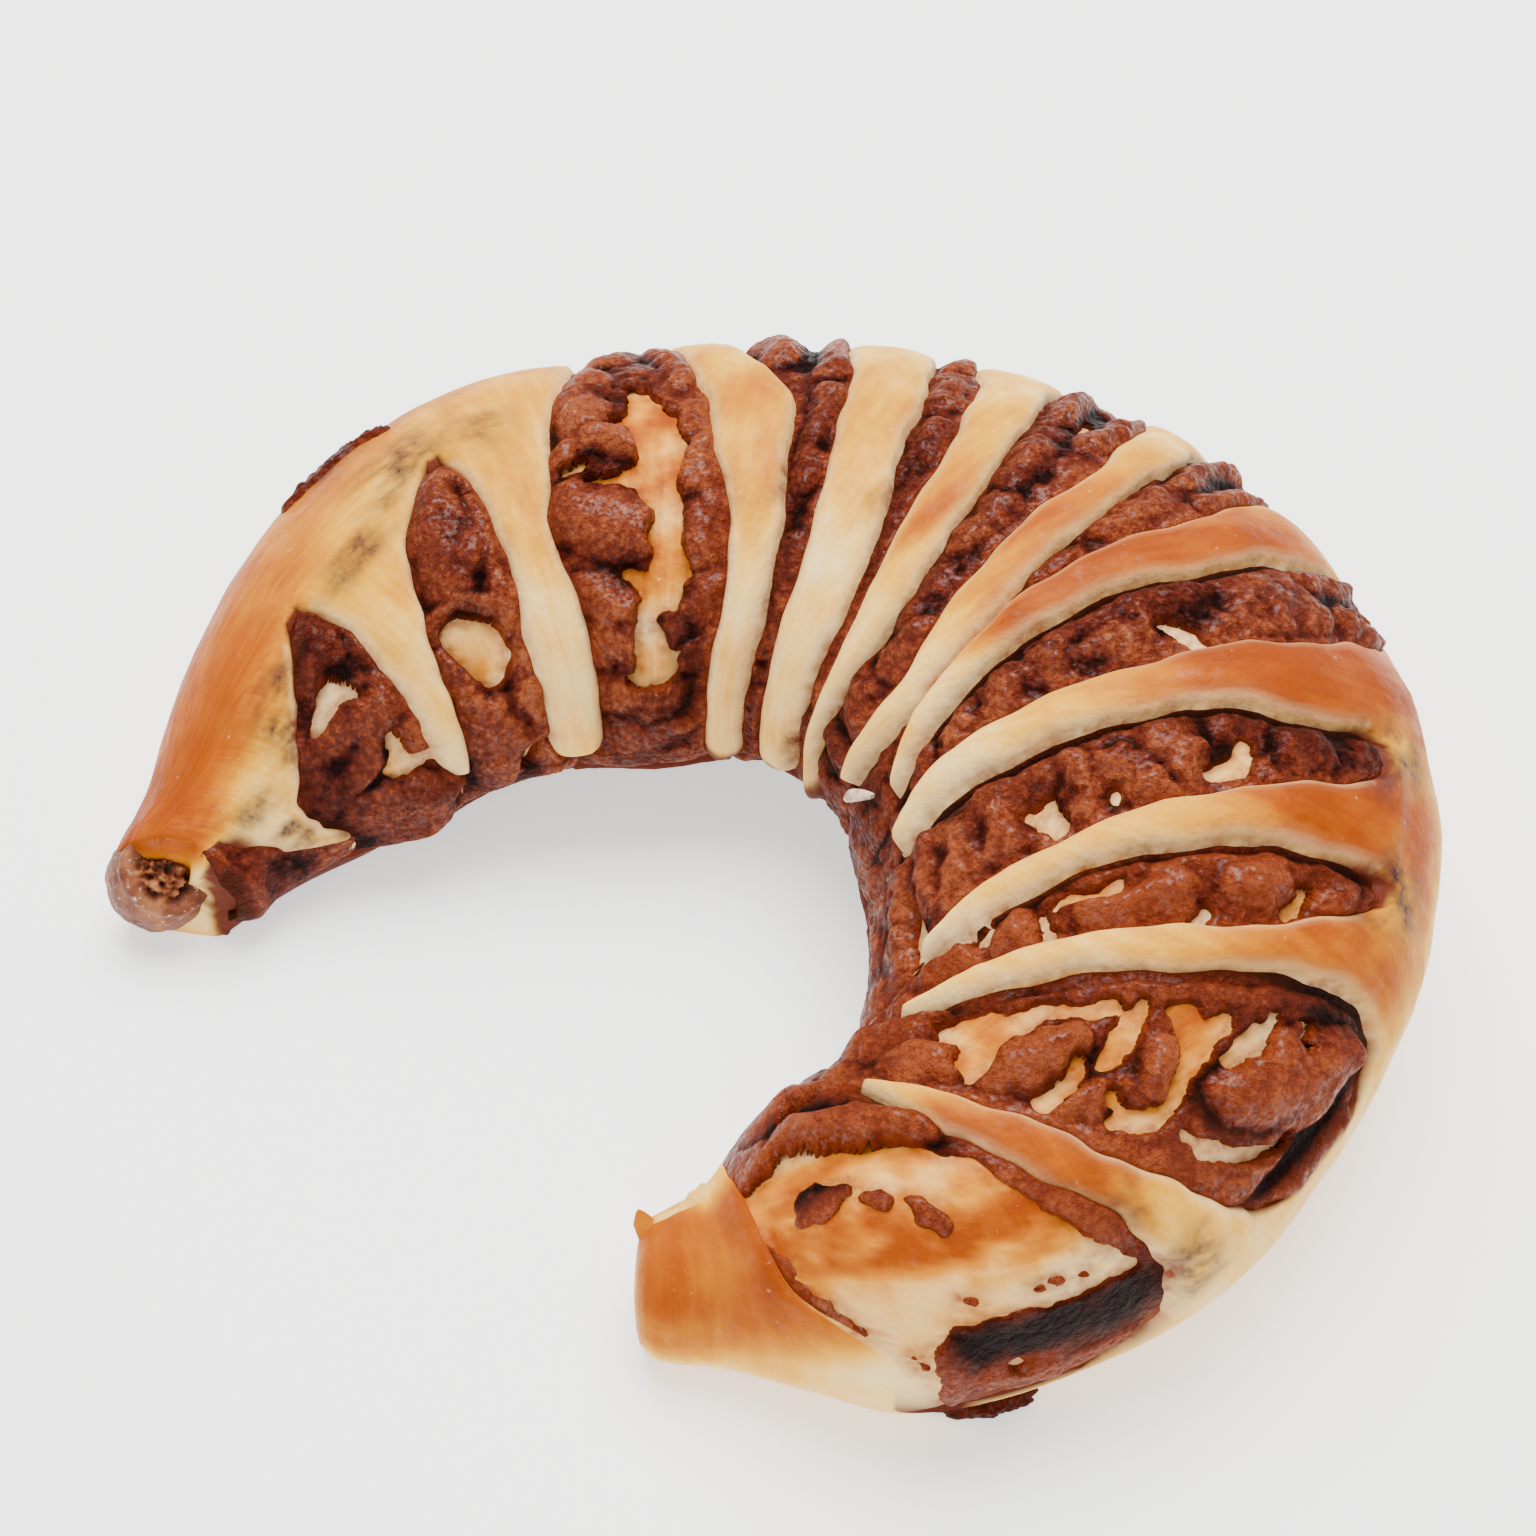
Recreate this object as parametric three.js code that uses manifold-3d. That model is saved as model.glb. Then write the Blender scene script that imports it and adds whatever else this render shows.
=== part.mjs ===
// Red bean bun: a sheet of milk dough spread with bean paste is rolled up, its outer turn is slit
// into strips, and the roll is bent into an open ring and baked. The slits gape, so the paste shows
// between the strips. Millimetres, +Z up. The opening of the ring faces the front left.
//
// Every point of the bun is named by two angles. The ring angle goes round the ring in degrees:
// 0 at the right, 90 at the back, 176 at the left end, -87 at the front end. The roll angle goes
// round the roll: 0 on the outer side, 90 on the crown, 180 on the inner side, 270 underneath.
import * as THREE from 'three';
import Module from 'manifold-3d';

// The middle of the ring.
const RING_X = -12;
const RING_Y = -8.5;

// Sections along the roll: ring angle, ring radius, half the roll's width, the roll's height.
const SECTIONS = [
  [-87, 47.6, 7.4, 13.5],
  [-80, 47.8, 9.3, 17],
  [-74, 48.6, 13, 22.5],
  [-66, 51.4, 17.4, 28.5],
  [-50, 54, 21.3, 32],
  [-25, 54.2, 27.5, 39],
  [0, 55.4, 32.8, 44.5],
  [30, 55.7, 33.9, 46],
  [60, 53.6, 31.6, 43.5],
  [90, 48.7, 30.6, 41.5],
  [120, 48.5, 27.6, 38.5],
  [140, 47.4, 22.2, 33],
  [155, 47.4, 17.4, 27],
  [167, 51.2, 11.8, 19],
  [176, 55.6, 9, 15],
];
const BELLY = 0.44; // where the roll is widest, as a share of its height
const SQUARENESS = 2.6; // how square the lower half has slumped
const SLUMP = 1; // how far the round underside is pressed flat

// Layers from the outside in. Near the thin ends they thin out with the roll.
const SKIN = 3.2;
const FILLING = 3.4;
const FULL_LAYERS_FROM = 22; // half width of a roll that has its layers at full thickness
const GAP = 0.6; // clearance between dough and paste, through their thickness
const SIDE_GAP = 0.5; // the same along the surface
const FILLING_OPENS = -15; // roll angles between which the filling lies under the skin
const FILLING_SHUTS = 195;

// Strips, from the left end to the front end. Each passes the roll angles of STOPS at the ring
// angles in mid, is as many degrees wide there as wide says, and ends at the roll angle tip.
const STOPS = [-30, 15, 50, 90, 130, 160];
const STRIPS = [
  { mid: [158, 158, 160, 163.6, 168.2, 168.6], wide: [18, 18, 20, 16.6, 7.8, 4.8], tip: 182 },
  { mid: [130, 130, 132, 138, 144.2, 146.4], wide: [14, 14, 16, 16, 9, 6.2], tip: 172 },
  { mid: [107, 107, 108.5, 112.4, 115.6, 116.3], wide: [14, 14, 15.5, 12, 11.6, 16], tip: 183 },
  { mid: [89, 89, 85.8, 78.2, 70.3, 69], wide: [8, 8, 7.7, 11.5, 9.7, 11.3], tip: 205 },
  { mid: [71, 71, 67.3, 61.9, 54.9, 52], wide: [9, 9, 9.4, 9.3, 13.8, 14.4], tip: 205 },
  { mid: [58, 58, 54.7, 48.2, 40, 37.3], wide: [9, 9, 8.5, 7.5, 10, 7.4], tip: 205 },
  { mid: [42.5, 42.5, 39, 32.3, 23, 16.8], wide: [7, 7, 6, 6, 7.4, 7.6], tip: 171 },
  { mid: [28, 28, 25, 21.6, 14.2, -3], wide: [8, 8, 7.2, 6.8, 5.4, 7], tip: 154 },
  { mid: [12, 12, 6.3, 3.6, -3, -12], wide: [10, 10, 9.4, 7.2, 8, 8], tip: 156 },
  { mid: [-2, -2, -7.5, -14.7, -32.2, -46], wide: [9, 9, 7.8, 6, 4.5, 4], tip: 139 },
  { mid: [-15, -15, -20, -30.2, -44.5, -54], wide: [9, 9, 5.6, 5, 4.2, 4], tip: 136 },
  { mid: [-37.5, -40.6, -45.8, -52.8, -60.5, -65], wide: [7, 6.5, 4.5, 4, 2.5, 2], tip: 119 },
];
// The whole skin of the two ends: the ring angles of its edge at the same stops.
const LEFT_SKIN = [174, 174, 174, 174, 174, 175];
const FRONT_SKIN = [-63, -66.5, -74, -75.6, -77, -77];

// Windows between the strips: the roll angles at which each opens and shuts.
const WINDOW_OPENS = [143, 80, 80, 20, 20, 24, 24, 28, 18, 46, 40, 10, -34];
const WINDOW_SHUTS = [195, 195, 195, 195, 195, 195, 180, 180, 180, 180, 180, 180, 180];
const TIP_ROUNDING = 14; // roll angle over which a strip's tip or a window's end is rounded
const BLUNT = 0.4; // share of its width that a strip or a window keeps at its rounded end

// Strips puff up: how far at a share of their width, and how far their edges sink.
const STRIP_PUFFS = [[0.28, 0.7], [0.72, 0.7]];
const STRIP_EDGE = -0.7;

// The paste in a window lies below the strips, in ripples and in larger lumps.
const PASTE_DEPTH = 1;
const NARROW_PASTE_DEPTH = 1.9;
const NARROW_WINDOW = 5.5; // width in degrees below which the paste stays low
const RIPPLE = 0.8;
// Lumps of paste: ring angle, roll angle, reach in either, height.
const LUMPS = [
  [156, 172, 9, 18, 3],
  [104, 122, 6, 14, 1.6],
  [96, 50, 8, 16, 1.4],
  [76, 48, 6, 18, 1.8],
  [59, 50, 5, 14, 1.6],
  [45, 52, 6, 16, 1.5],
  [14, 62, 7, 34, 1],
  [-30, 32, 9, 24, 1.6],
  [-46, 128, 9, 20, 1.8],
  [-69, 124, 8, 20, 2],
];

// Places where the paste is missing and the inner turn of dough shows: the same, without height.
const BARE_PATCHES = [
  [133.2, 137, 4.6, 10.5],
  [91.5, 89, 4, 13],
  [91, 112, 3.6, 11],
  [91.5, 146, 4.6, 15],
  [-38, 71, 4.6, 9],
  [-46.5, 107, 5, 11.5],
  [-61, 46, 10, 20],
  [-65, 78, 7.5, 15],
];
const PATCH_DEPTH = 1.3; // how far a bare patch lies below the strips
const PATCH_SHOULDER = 0.5; // how much lower its edge is
const PATCH_ROOT = 1.5; // how far it reaches into the inner roll
const PATCH_SIDES = 12;
const HOLE_HEIGHT = 7; // how far a hole in the paste is cut beyond the roll

// A torn scrap of skin stands up at the front end: ring angle, roll angle, reach in either, height.
const TORN_LIP = [-87, 104, 5, 24, 2.6];

// The ends close in rings: degrees past the end, share of the end's section. The left end shows
// the end of the roll, with a pit at its middle.
const LEFT_END = 176;
const LEFT_CLOSING = [[-0.8, 0], [0.2, 0.34], [1.4, 0.62], [1, 0.88]];
const FRONT_LINES = [-80, -84, -87];
const FRONT_CLOSING = [[1.6, 0.88], [2.8, 0.62], [3.1, 0.3], [3.2, 0]];

const ROLL_STEP = 15; // degrees between rows round the roll
const WINDOW_CELL = 8; // degrees between lines across a window
const TURN_BACK = 200; // roll angle past which the lines swing back under the roll

const LAYERS = 2; // the skin and the filling, over the inner roll

const DOUGH_COLOUR = 0xe8bb74;
const DOUGH_ROUGHNESS = 0.62;
const PASTE_COLOUR = 0x4d2218;
const PASTE_ROUGHNESS = 0.5;

const wasm = await Module();
wasm.setup();

const { clamp, degToRad, lerp, radToDeg, smoothstep } = THREE.MathUtils;

// Smooth curve through the values ys at the rising places xs, level beyond the first and last.
function through(xs, ys, x) {
  const last = xs.length - 1;
  const slope = (k) => {
    const before = Math.max(k - 1, 0);
    const after = Math.min(k + 1, last);
    return (ys[after] - ys[before]) / (xs[after] - xs[before]);
  };
  let k = 0;
  while (k < last - 1 && x > xs[k + 1]) k += 1;
  const span = xs[k + 1] - xs[k];
  const t = clamp((x - xs[k]) / span, 0, 1);
  const u = 1 - t;
  const values = ys[k] * u * u * (1 + 2 * t) + ys[k + 1] * t * t * (3 - 2 * t);
  return values + span * t * u * (slope(k) * u - slope(k + 1) * t);
}

const alongRoll = (column) => {
  const angles = SECTIONS.map((section) => section[0]);
  const values = SECTIONS.map((section) => section[column]);
  return (phi) => through(angles, values, phi);
};
const radiusAt = alongRoll(1);
const halfWidthAt = alongRoll(2);
const heightAt = alongRoll(3);

const quad = (a, b, c, d) => [[a, b, c], [a, c, d]];

// A depth in the layers, less where the roll is thin.
const thinned = (phi, depth) => depth * Math.min(1, halfWidthAt(phi) / FULL_LAYERS_FROM);

// The point at a ring angle and a roll angle, inset below the roll's smooth surface. A share under
// 1 shrinks the section towards its middle.
function onRoll(phi, theta, inset = 0, share = 1) {
  const height = heightAt(phi);
  const belly = BELLY * height;
  const c = Math.cos(degToRad(theta));
  const s = Math.sin(degToRad(theta));
  const power = s < 0 ? 2 / SQUARENESS : 1;
  const rise = s < 0 ? belly + SLUMP : height - belly;
  const across = (halfWidthAt(phi) - inset) * Math.sign(c) * Math.abs(c) ** power;
  const up = (rise - inset) * Math.sign(s) * Math.abs(s) ** power;
  const radius = radiusAt(phi) + share * across;
  return new THREE.Vector3(
    RING_X + radius * Math.cos(degToRad(phi)),
    RING_Y + radius * Math.sin(degToRad(phi)),
    Math.max(0, belly + share * up),
  );
}

// Degrees of ring angle that a length along the surface takes up at a place.
function degreesOf(length, phi, theta) {
  const point = onRoll(phi, theta);
  return radToDeg(length / Math.hypot(point.x - RING_X, point.y - RING_Y));
}

// A round hump, 1 in the middle and 0 at its reach.
function hump([phi0, theta0, phiReach, thetaReach], phi, theta) {
  const far = Math.hypot((phi - phi0) / phiReach, (theta - theta0) / thetaReach);
  return far < 1 ? (1 - far * far) ** 2 : 0;
}

// The share of its full width that a strip or window has at a distance from its rounded end.
function rounded(distance) {
  const t = clamp(distance / TIP_ROUNDING, 0, 1);
  return lerp(BLUNT, 1, Math.sqrt(t * (2 - t)));
}

// Ring angle of a strip's edge: side is -1 for its left edge and 1 for its front edge.
function stripEdge(k, theta, side) {
  if (k < 0) return through(STOPS, LEFT_SKIN, theta);
  if (k === STRIPS.length) return through(STOPS, FRONT_SKIN, theta);
  const { mid, wide, tip } = STRIPS[k];
  const half = (through(STOPS, wide, theta) / 2) * rounded(tip - theta);
  return through(STOPS, mid, theta) - side * half;
}

// Ring angle at a share of the way across a window, which narrows towards its opening end.
function acrossWindow(k, theta, share) {
  const left = stripEdge(k - 1, theta, 1);
  const right = stripEdge(k, theta, -1);
  return lerp(left, right, 0.5 + (share - 0.5) * rounded(theta - WINDOW_OPENS[k]));
}

const windowWidth = (k, theta) => acrossWindow(k, theta, 0) - acrossWindow(k, theta, 1);

// How far a strip is parted from its neighbours at a roll angle, from 0 to 1.
function parted(k, theta) {
  const opens = Math.min(WINDOW_OPENS[k], WINDOW_OPENS[k + 1]);
  return smoothstep(theta, opens, opens + 2 * TIP_ROUNDING) * (1 - smoothstep(theta, 180, TURN_BACK));
}

// Lines that run round the roll, from the left end to the front end, and what lies in the columns
// between them: whole skin, a strip or a window. A window's edge lines say which way is inwards.
const lines = [];
const columns = [];
function addLine(phi, column, more = {}) {
  lines.push({ phi, share: 1, turn: 0, relief: () => 0, inwards: 0, ...more });
  if (column) columns.push(column);
}

const whole = { kind: 'whole' };
for (const [turn, share] of LEFT_CLOSING) addLine(() => LEFT_END, whole, { turn, share });
addLine(() => LEFT_END, whole);
WINDOW_OPENS.forEach((_, k) => {
  const widths = STOPS.map((theta) => stripEdge(k - 1, theta, 1) - stripEdge(k, theta, -1));
  const cells = Math.max(1, Math.round(Math.max(...widths) / WINDOW_CELL));
  for (let j = 0; j <= cells; j += 1) {
    const inwards = Number(j === cells) - Number(j === 0);
    const strip = { '-1': k - 1, 1: k }[inwards];
    const slit = STRIPS[strip] !== undefined;
    const relief = (theta) => (slit ? STRIP_EDGE * parted(strip, theta) : 0);
    const next = k < STRIPS.length ? { kind: 'strip', k } : whole;
    const column = j < cells ? { kind: 'window', k } : next;
    const phi = (theta) => acrossWindow(k, theta, j / cells);
    addLine(phi, column, { relief, inwards, window: k, strip });
  }
  if (k === STRIPS.length) return;
  for (const [share, puff] of STRIP_PUFFS) {
    const phi = (theta) => lerp(acrossWindow(k, theta, 1), acrossWindow(k + 1, theta, 0), share);
    addLine(phi, { kind: 'strip', k }, { relief: (theta) => puff * parted(k, theta), strip: k });
  }
});
for (const phi of FRONT_LINES) addLine(() => phi, whole);
FRONT_CLOSING.forEach(([past, share], i) => {
  const column = i + 1 < FRONT_CLOSING.length ? whole : null;
  addLine(() => FRONT_LINES.at(-1), column, { turn: -past, share });
});

// Rows round the roll, from the outer foot over the crown to the underside.
const ROWS = 360 / ROLL_STEP;
const rowAngle = (j) => STOPS[0] + j * ROLL_STEP;
const rowOf = (theta) => Math.round((theta - STOPS[0]) / ROLL_STEP);

// Ring angle of a line at a row. Past TURN_BACK it swings back under the roll to where it began.
function lineAngle(line, theta) {
  if (theta <= TURN_BACK) return line.phi(theta);
  const t = (theta - TURN_BACK) / (STOPS[0] + 360 - TURN_BACK);
  return lerp(line.phi(TURN_BACK), line.phi(STOPS[0]), t);
}

// What a cell between two lines and two rows holds: whole dough, a strip over paste, or a window.
function cellKind({ kind, k }, j) {
  const under = j >= rowOf(FILLING_OPENS) && j < rowOf(FILLING_SHUTS);
  if (kind === 'whole') return 'whole';
  if (kind === 'strip') {
    const past = j >= rowOf(STRIPS[k].tip);
    const shut = Math.max(rowOf(WINDOW_SHUTS[k]), rowOf(WINDOW_SHUTS[k + 1]));
    if (past && j < shut) return 'window';
  }
  if (kind === 'window' && j >= rowOf(WINDOW_OPENS[k]) && j < rowOf(WINDOW_SHUTS[k])) return 'window';
  return under ? 'strip' : 'whole';
}

// How deep the paste's surface lies in a window.
function pasteDepth(k, phi, theta) {
  const low = 1 - smoothstep(windowWidth(k, theta), NARROW_WINDOW, 2 * NARROW_WINDOW);
  const ripple = RIPPLE * Math.sin(0.9 * phi + 0.11 * theta) * Math.sin(0.23 * theta - 0.4 * phi);
  const lump = Math.max(...LUMPS.map((row) => row[4] * hump(row, phi, theta)));
  return thinned(phi, lerp(PASTE_DEPTH, NARROW_PASTE_DEPTH, low) - ripple - lump);
}

// The dough's three surfaces: its skin, the underside of the skin and the inner roll.
function doughPoint(level, line, j) {
  const theta = rowAngle(j);
  const phi = lineAngle(line, theta) + line.turn;
  const torn = TORN_LIP[4] * hump(TORN_LIP, phi, theta);
  const depths = [-line.relief(theta) - torn, thinned(phi, SKIN), thinned(phi, SKIN + FILLING)];
  return onRoll(phi, theta, depths[level], line.share);
}

// The paste's surfaces: in the windows, under the strips and on the inner roll. Along every edge it
// is drawn in by the clearance.
function pastePoint(level, line, j) {
  const opens = [FILLING_OPENS, WINDOW_OPENS[line.window], STRIPS[line.strip]?.tip].map(rowOf);
  const shuts = [FILLING_SHUTS, WINDOW_SHUTS[line.window ?? line.strip]].map(rowOf);
  const drawn = Number(opens.includes(j)) - Number(shuts.includes(j));
  const rowPhi = lineAngle(line, rowAngle(j));
  const theta = rowAngle(j) + drawn * radToDeg(SIDE_GAP / halfWidthAt(rowPhi));
  const room = windowWidth(line.window ?? 0, theta) / 3;
  const phi = rowPhi + line.inwards * Math.min(degreesOf(SIDE_GAP, rowPhi, theta), room);
  const depths = [
    line.window === undefined ? thinned(phi, PASTE_DEPTH) : pasteDepth(line.window, phi, theta),
    thinned(phi, SKIN) + GAP,
    thinned(phi, SKIN + FILLING) - GAP,
  ];
  return onRoll(phi, theta, depths[level]);
}

// A solid from its points and triangles.
function solid(points, triangles) {
  const vertProperties = new Float32Array(points.flatMap((p) => [p.x, p.y, p.z]));
  const triVerts = new Uint32Array(triangles.flat());
  return new wasm.Manifold(new wasm.Mesh({ numProp: 3, vertProperties, triVerts }));
}

// A solid made of blocks, each in a column, a row and one of two layers, between the three levels
// of a surface. filled says which cells hold a block of a layer. Under the layers is a core or none.
function blocks(point, filled, hasCore) {
  const points = [];
  const known = new Map();
  const vertex = (level, i, j) => {
    const row = j % ROWS;
    const key = lines[i].share === 0 ? `${i}` : `${level},${i},${row}`;
    if (!known.has(key)) {
      known.set(key, points.length);
      points.push(point(level, lines[i], row));
    }
    return known.get(key);
  };
  const triangles = [];
  const face = (a, b, c, d) => {
    for (const corners of [[a, b, c], [a, c, d]]) {
      if (new Set(corners).size === 3) triangles.push(corners);
    }
  };
  const holds = (layer, i, j) => {
    if (layer < 0 || i < 0 || i >= columns.length) return false;
    if (layer === LAYERS) return hasCore;
    return filled(layer, cellKind(columns[i], (j + ROWS) % ROWS));
  };
  const skinOf = (layer, i, j) => {
    const corners = [[i, j], [i, j + 1], [i + 1, j + 1], [i + 1, j]];
    const here = holds(layer, i, j);
    if (here === holds(layer - 1, i, j)) return;
    const turned = here ? corners : corners.reverse();
    face(...turned.map((corner) => vertex(layer, ...corner)));
  };
  const wall = (layer, a, b) => {
    const [up, down] = [layer, layer + 1];
    face(vertex(up, ...a), vertex(down, ...a), vertex(down, ...b), vertex(up, ...b));
  };
  const wallsOf = (layer, i, j) => {
    const here = holds(layer, i, j);
    const acrossLine = [[i, j], [i, j + 1]];
    if (here !== holds(layer, i - 1, j)) wall(layer, ...(here ? acrossLine : acrossLine.reverse()));
    const acrossRow = [[i + 1, j], [i, j]];
    if (i === columns.length) return;
    if (here !== holds(layer, i, j - 1)) wall(layer, ...(here ? acrossRow : acrossRow.reverse()));
  };
  for (let i = 0; i <= columns.length; i += 1) {
    for (let j = 0; j < ROWS; j += 1) {
      for (let layer = 0; layer < LAYERS; layer += 1) wallsOf(layer, i, j);
      if (i === columns.length) continue;
      for (let layer = 0; layer <= LAYERS; layer += 1) skinOf(layer, i, j);
    }
  }
  return solid(points, triangles);
}

// A post of dough that stands up from the inner roll, or the hole for it in the paste.
function barePatch([phi0, theta0, phiReach, thetaReach], top, clearance) {
  const root = SKIN + FILLING + PATCH_ROOT;
  const phiSize = phiReach + degreesOf(clearance, phi0, theta0);
  const thetaSize = thetaReach + radToDeg(clearance / halfWidthAt(phi0));
  const place = (share, turn, depth) => {
    const phi = phi0 + share * phiSize * Math.cos(turn);
    const theta = theta0 + share * thetaSize * Math.sin(turn);
    return onRoll(phi, theta, thinned(phi, depth));
  };
  const rings = [[1, top + PATCH_SHOULDER], [0.55, top], [1, root]];
  const turns = Array.from({ length: PATCH_SIDES }, (_, j) => (2 * Math.PI * j) / PATCH_SIDES);
  const points = rings.flatMap(([share, depth]) => turns.map((turn) => place(share, turn, depth)));
  const [topMiddle, rootMiddle] = [points.length, points.length + 1];
  points.push(place(0, 0, top), place(0, 0, root));
  const [EDGE, CROWN, ROOT] = [0, 1, 2];
  const at = (ring, j) => ring * PATCH_SIDES + (j % PATCH_SIDES);
  const triangles = turns.flatMap((_, j) => [
    ...quad(at(CROWN, j), at(EDGE, j), at(EDGE, j + 1), at(CROWN, j + 1)),
    ...quad(at(EDGE, j), at(ROOT, j), at(ROOT, j + 1), at(EDGE, j + 1)),
    [topMiddle, at(CROWN, j), at(CROWN, j + 1)],
    [rootMiddle, at(ROOT, j + 1), at(ROOT, j)],
  ]);
  return solid(points, triangles);
}

const joined = (solids) => solids.reduce((all, piece) => all.add(piece));
const patches = joined(BARE_PATCHES.map((patch) => barePatch(patch, PATCH_DEPTH, 0)));
const holes = joined(BARE_PATCHES.map((patch) => barePatch(patch, -HOLE_HEIGHT, SIDE_GAP)));

const inDough = (layer, kind) => kind === 'whole' || (layer === 0 && kind === 'strip');
const inPaste = (layer, kind) => kind === 'window' || (layer === 1 && kind === 'strip');
const dough = blocks(doughPoint, inDough, true).add(patches);
const beanPaste = blocks(pastePoint, inPaste, false).subtract(holes);

function mesh(name, manifold, colour, roughness) {
  const { vertProperties, triVerts } = manifold.getMesh();
  const geometry = new THREE.BufferGeometry();
  geometry.setAttribute('position', new THREE.BufferAttribute(vertProperties, 3));
  geometry.setIndex(new THREE.BufferAttribute(triVerts, 1));
  geometry.computeVertexNormals();
  const material = new THREE.MeshStandardMaterial({ color: colour, roughness, metalness: 0 });
  const piece = new THREE.Mesh(geometry, material);
  piece.name = name;
  return piece;
}

const bun = new THREE.Group();
bun.name = 'red_bean_bun';
bun.add(mesh('dough', dough, DOUGH_COLOUR, DOUGH_ROUGHNESS));
bun.add(mesh('bean_paste', beanPaste, PASTE_COLOUR, PASTE_ROUGHNESS));

export default bun;
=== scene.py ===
import math

import bpy
import numpy as np
from mathutils import Matrix, Vector, noise


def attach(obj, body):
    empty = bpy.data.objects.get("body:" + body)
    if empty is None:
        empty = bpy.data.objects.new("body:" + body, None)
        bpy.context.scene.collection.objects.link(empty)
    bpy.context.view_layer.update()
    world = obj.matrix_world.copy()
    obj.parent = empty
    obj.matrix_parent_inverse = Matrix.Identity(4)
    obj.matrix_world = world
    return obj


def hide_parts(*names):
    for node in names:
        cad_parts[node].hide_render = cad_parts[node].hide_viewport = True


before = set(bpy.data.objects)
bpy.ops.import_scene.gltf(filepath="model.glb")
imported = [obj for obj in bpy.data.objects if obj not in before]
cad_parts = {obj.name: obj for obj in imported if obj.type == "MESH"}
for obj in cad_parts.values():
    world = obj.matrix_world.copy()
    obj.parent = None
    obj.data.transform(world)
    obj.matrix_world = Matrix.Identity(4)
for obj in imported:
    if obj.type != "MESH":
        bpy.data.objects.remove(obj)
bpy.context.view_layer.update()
bpy.ops.object.select_all(action="DESELECT")

# Dough
# Soft milk dough, rolled up, its outer turn slit into strips and bent into an open ring, then baked.
# It is cream where it stayed pale, golden to orange on the crown, and thin enough for paste to show.
MM = 0.001
RING_X, RING_Y = -12.0, -8.5
# A place on the roll is given by two angles in degrees: the ring angle, round the ring from its right
# side towards the back, and the roll angle, from the outer side over the crown to the inner side.
# Sizes are in millimetres.
# Sections along the roll: ring angle, ring radius, half width, height.
SECTIONS = np.array([
    [-87, 47.6, 7.4, 13.5], [-80, 47.8, 9.3, 17], [-74, 48.6, 13, 22.5], [-66, 51.4, 17.4, 28.5],
    [-50, 54, 21.3, 32], [-25, 54.2, 27.5, 39], [0, 55.4, 32.8, 44.5], [30, 55.7, 33.9, 46],
    [60, 53.6, 31.6, 43.5], [90, 48.7, 30.6, 41.5], [120, 48.5, 27.6, 38.5], [140, 47.4, 22.2, 33],
    [155, 47.4, 17.4, 27], [167, 51.2, 11.8, 19], [176, 55.6, 9, 15],
])
LEFT_END, FRONT_END = SECTIONS[-1, 0], SECTIONS[0, 0]
# The widest line's share of the height, how square the underside is, and how far it has slumped.
BELLY, SQUARENESS, SLUMP = 0.44, 2.6, 1.0
# Layers have their full thickness where the roll is at least this wide on either side.
FULL_FROM = 22.0
# How far the foot of the inner wall is tucked in under the roll.
TUCK = 3.4
# Strips: ring angle of the middle and width in degrees at the roll angles of STOPS, the roll angle
# of the tip, and the length of its taper.
STOPS = [15, 40, 60, 80, 100, 120, 140, 160, 180]
STRIPS = [
    ([158, 158, 160, 160, 164.3, 168.4, 169.6, 168.2, 164],
     [18, 18, 20, 20, 14.2, 10.8, 6.6, 4.6, 3.6], 178, 12),
    ([131, 131, 132, 134, 138.9, 142.3, 145.1, 146.4, 146.4],
     [15, 15, 17, 23, 14.1, 10.2, 8.0, 7.6, 7.6], 174, 26),
    ([107, 108.5, 109.8, 112, 113.1, 114.9, 115.5, 116.3, 116.3],
     [15, 17, 17, 15, 11.4, 9.8, 15, 16.5, 16.5], 184, 5),
    ([88.5, 86.8, 84.5, 79.5, 76.5, 72.1, 69.2, 69.1, 69.1],
     [7, 7.5, 7.3, 11, 10.8, 9.5, 10.3, 11.6, 11.6], 192, 6),
    ([71, 68.6, 66, 63.3, 60.4, 55.9, 52.9, 51.8, 51.8],
     [9, 9, 9, 9.3, 10, 12.4, 13.8, 14.4, 14.4], 191, 6),
    ([58, 55.9, 53.2, 49.8, 46.3, 42.5, 38.1, 37.2, 37.2],
     [9, 9.2, 7.3, 7.4, 7.8, 9.4, 9.4, 6.9, 6.9], 196, 8),
    ([42.5, 40.3, 37.1, 33.7, 30.6, 25.6, 18.7, 16.7, 16.7],
     [7, 6.3, 5.7, 5.2, 7.2, 8.9, 8.3, 8.1, 8.1], 171, 9),
    ([26.8, 25.5, 23.7, 22.1, 21.1, 17.5, 10.5, -4, -4],
     [10.5, 8.9, 7.3, 7.1, 6.7, 6.7, 7.4, 7, 7], 155, 20),
    ([10.3, 7.6, 5.6, 4.7, 2.4, -0.9, -5.4, -14, -14],
     [13.4, 9.8, 9.2, 7.4, 7.3, 8.2, 8.6, 9, 9], 156, 14),
    ([-5.5, -6.2, -8.7, -12.2, -17.9, -26.6, -37.5, -46, -46],
     [7, 8.3, 6.8, 6, 5.7, 6.4, 6, 6, 6], 139, 22),
    ([-15.5, -17.4, -22.4, -27.5, -33.2, -41, -49, -56, -56],
     [9, 6.8, 5.2, 5.6, 5, 5.4, 5.4, 5, 5], 135, 20),
    ([-41.3, -44.7, -48.2, -51.7, -55.4, -59.2, -63, -66, -66],
     [7.3, 5.4, 5.8, 6, 5, 4.4, 4, 4, 4], 119, 24),
]
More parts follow.
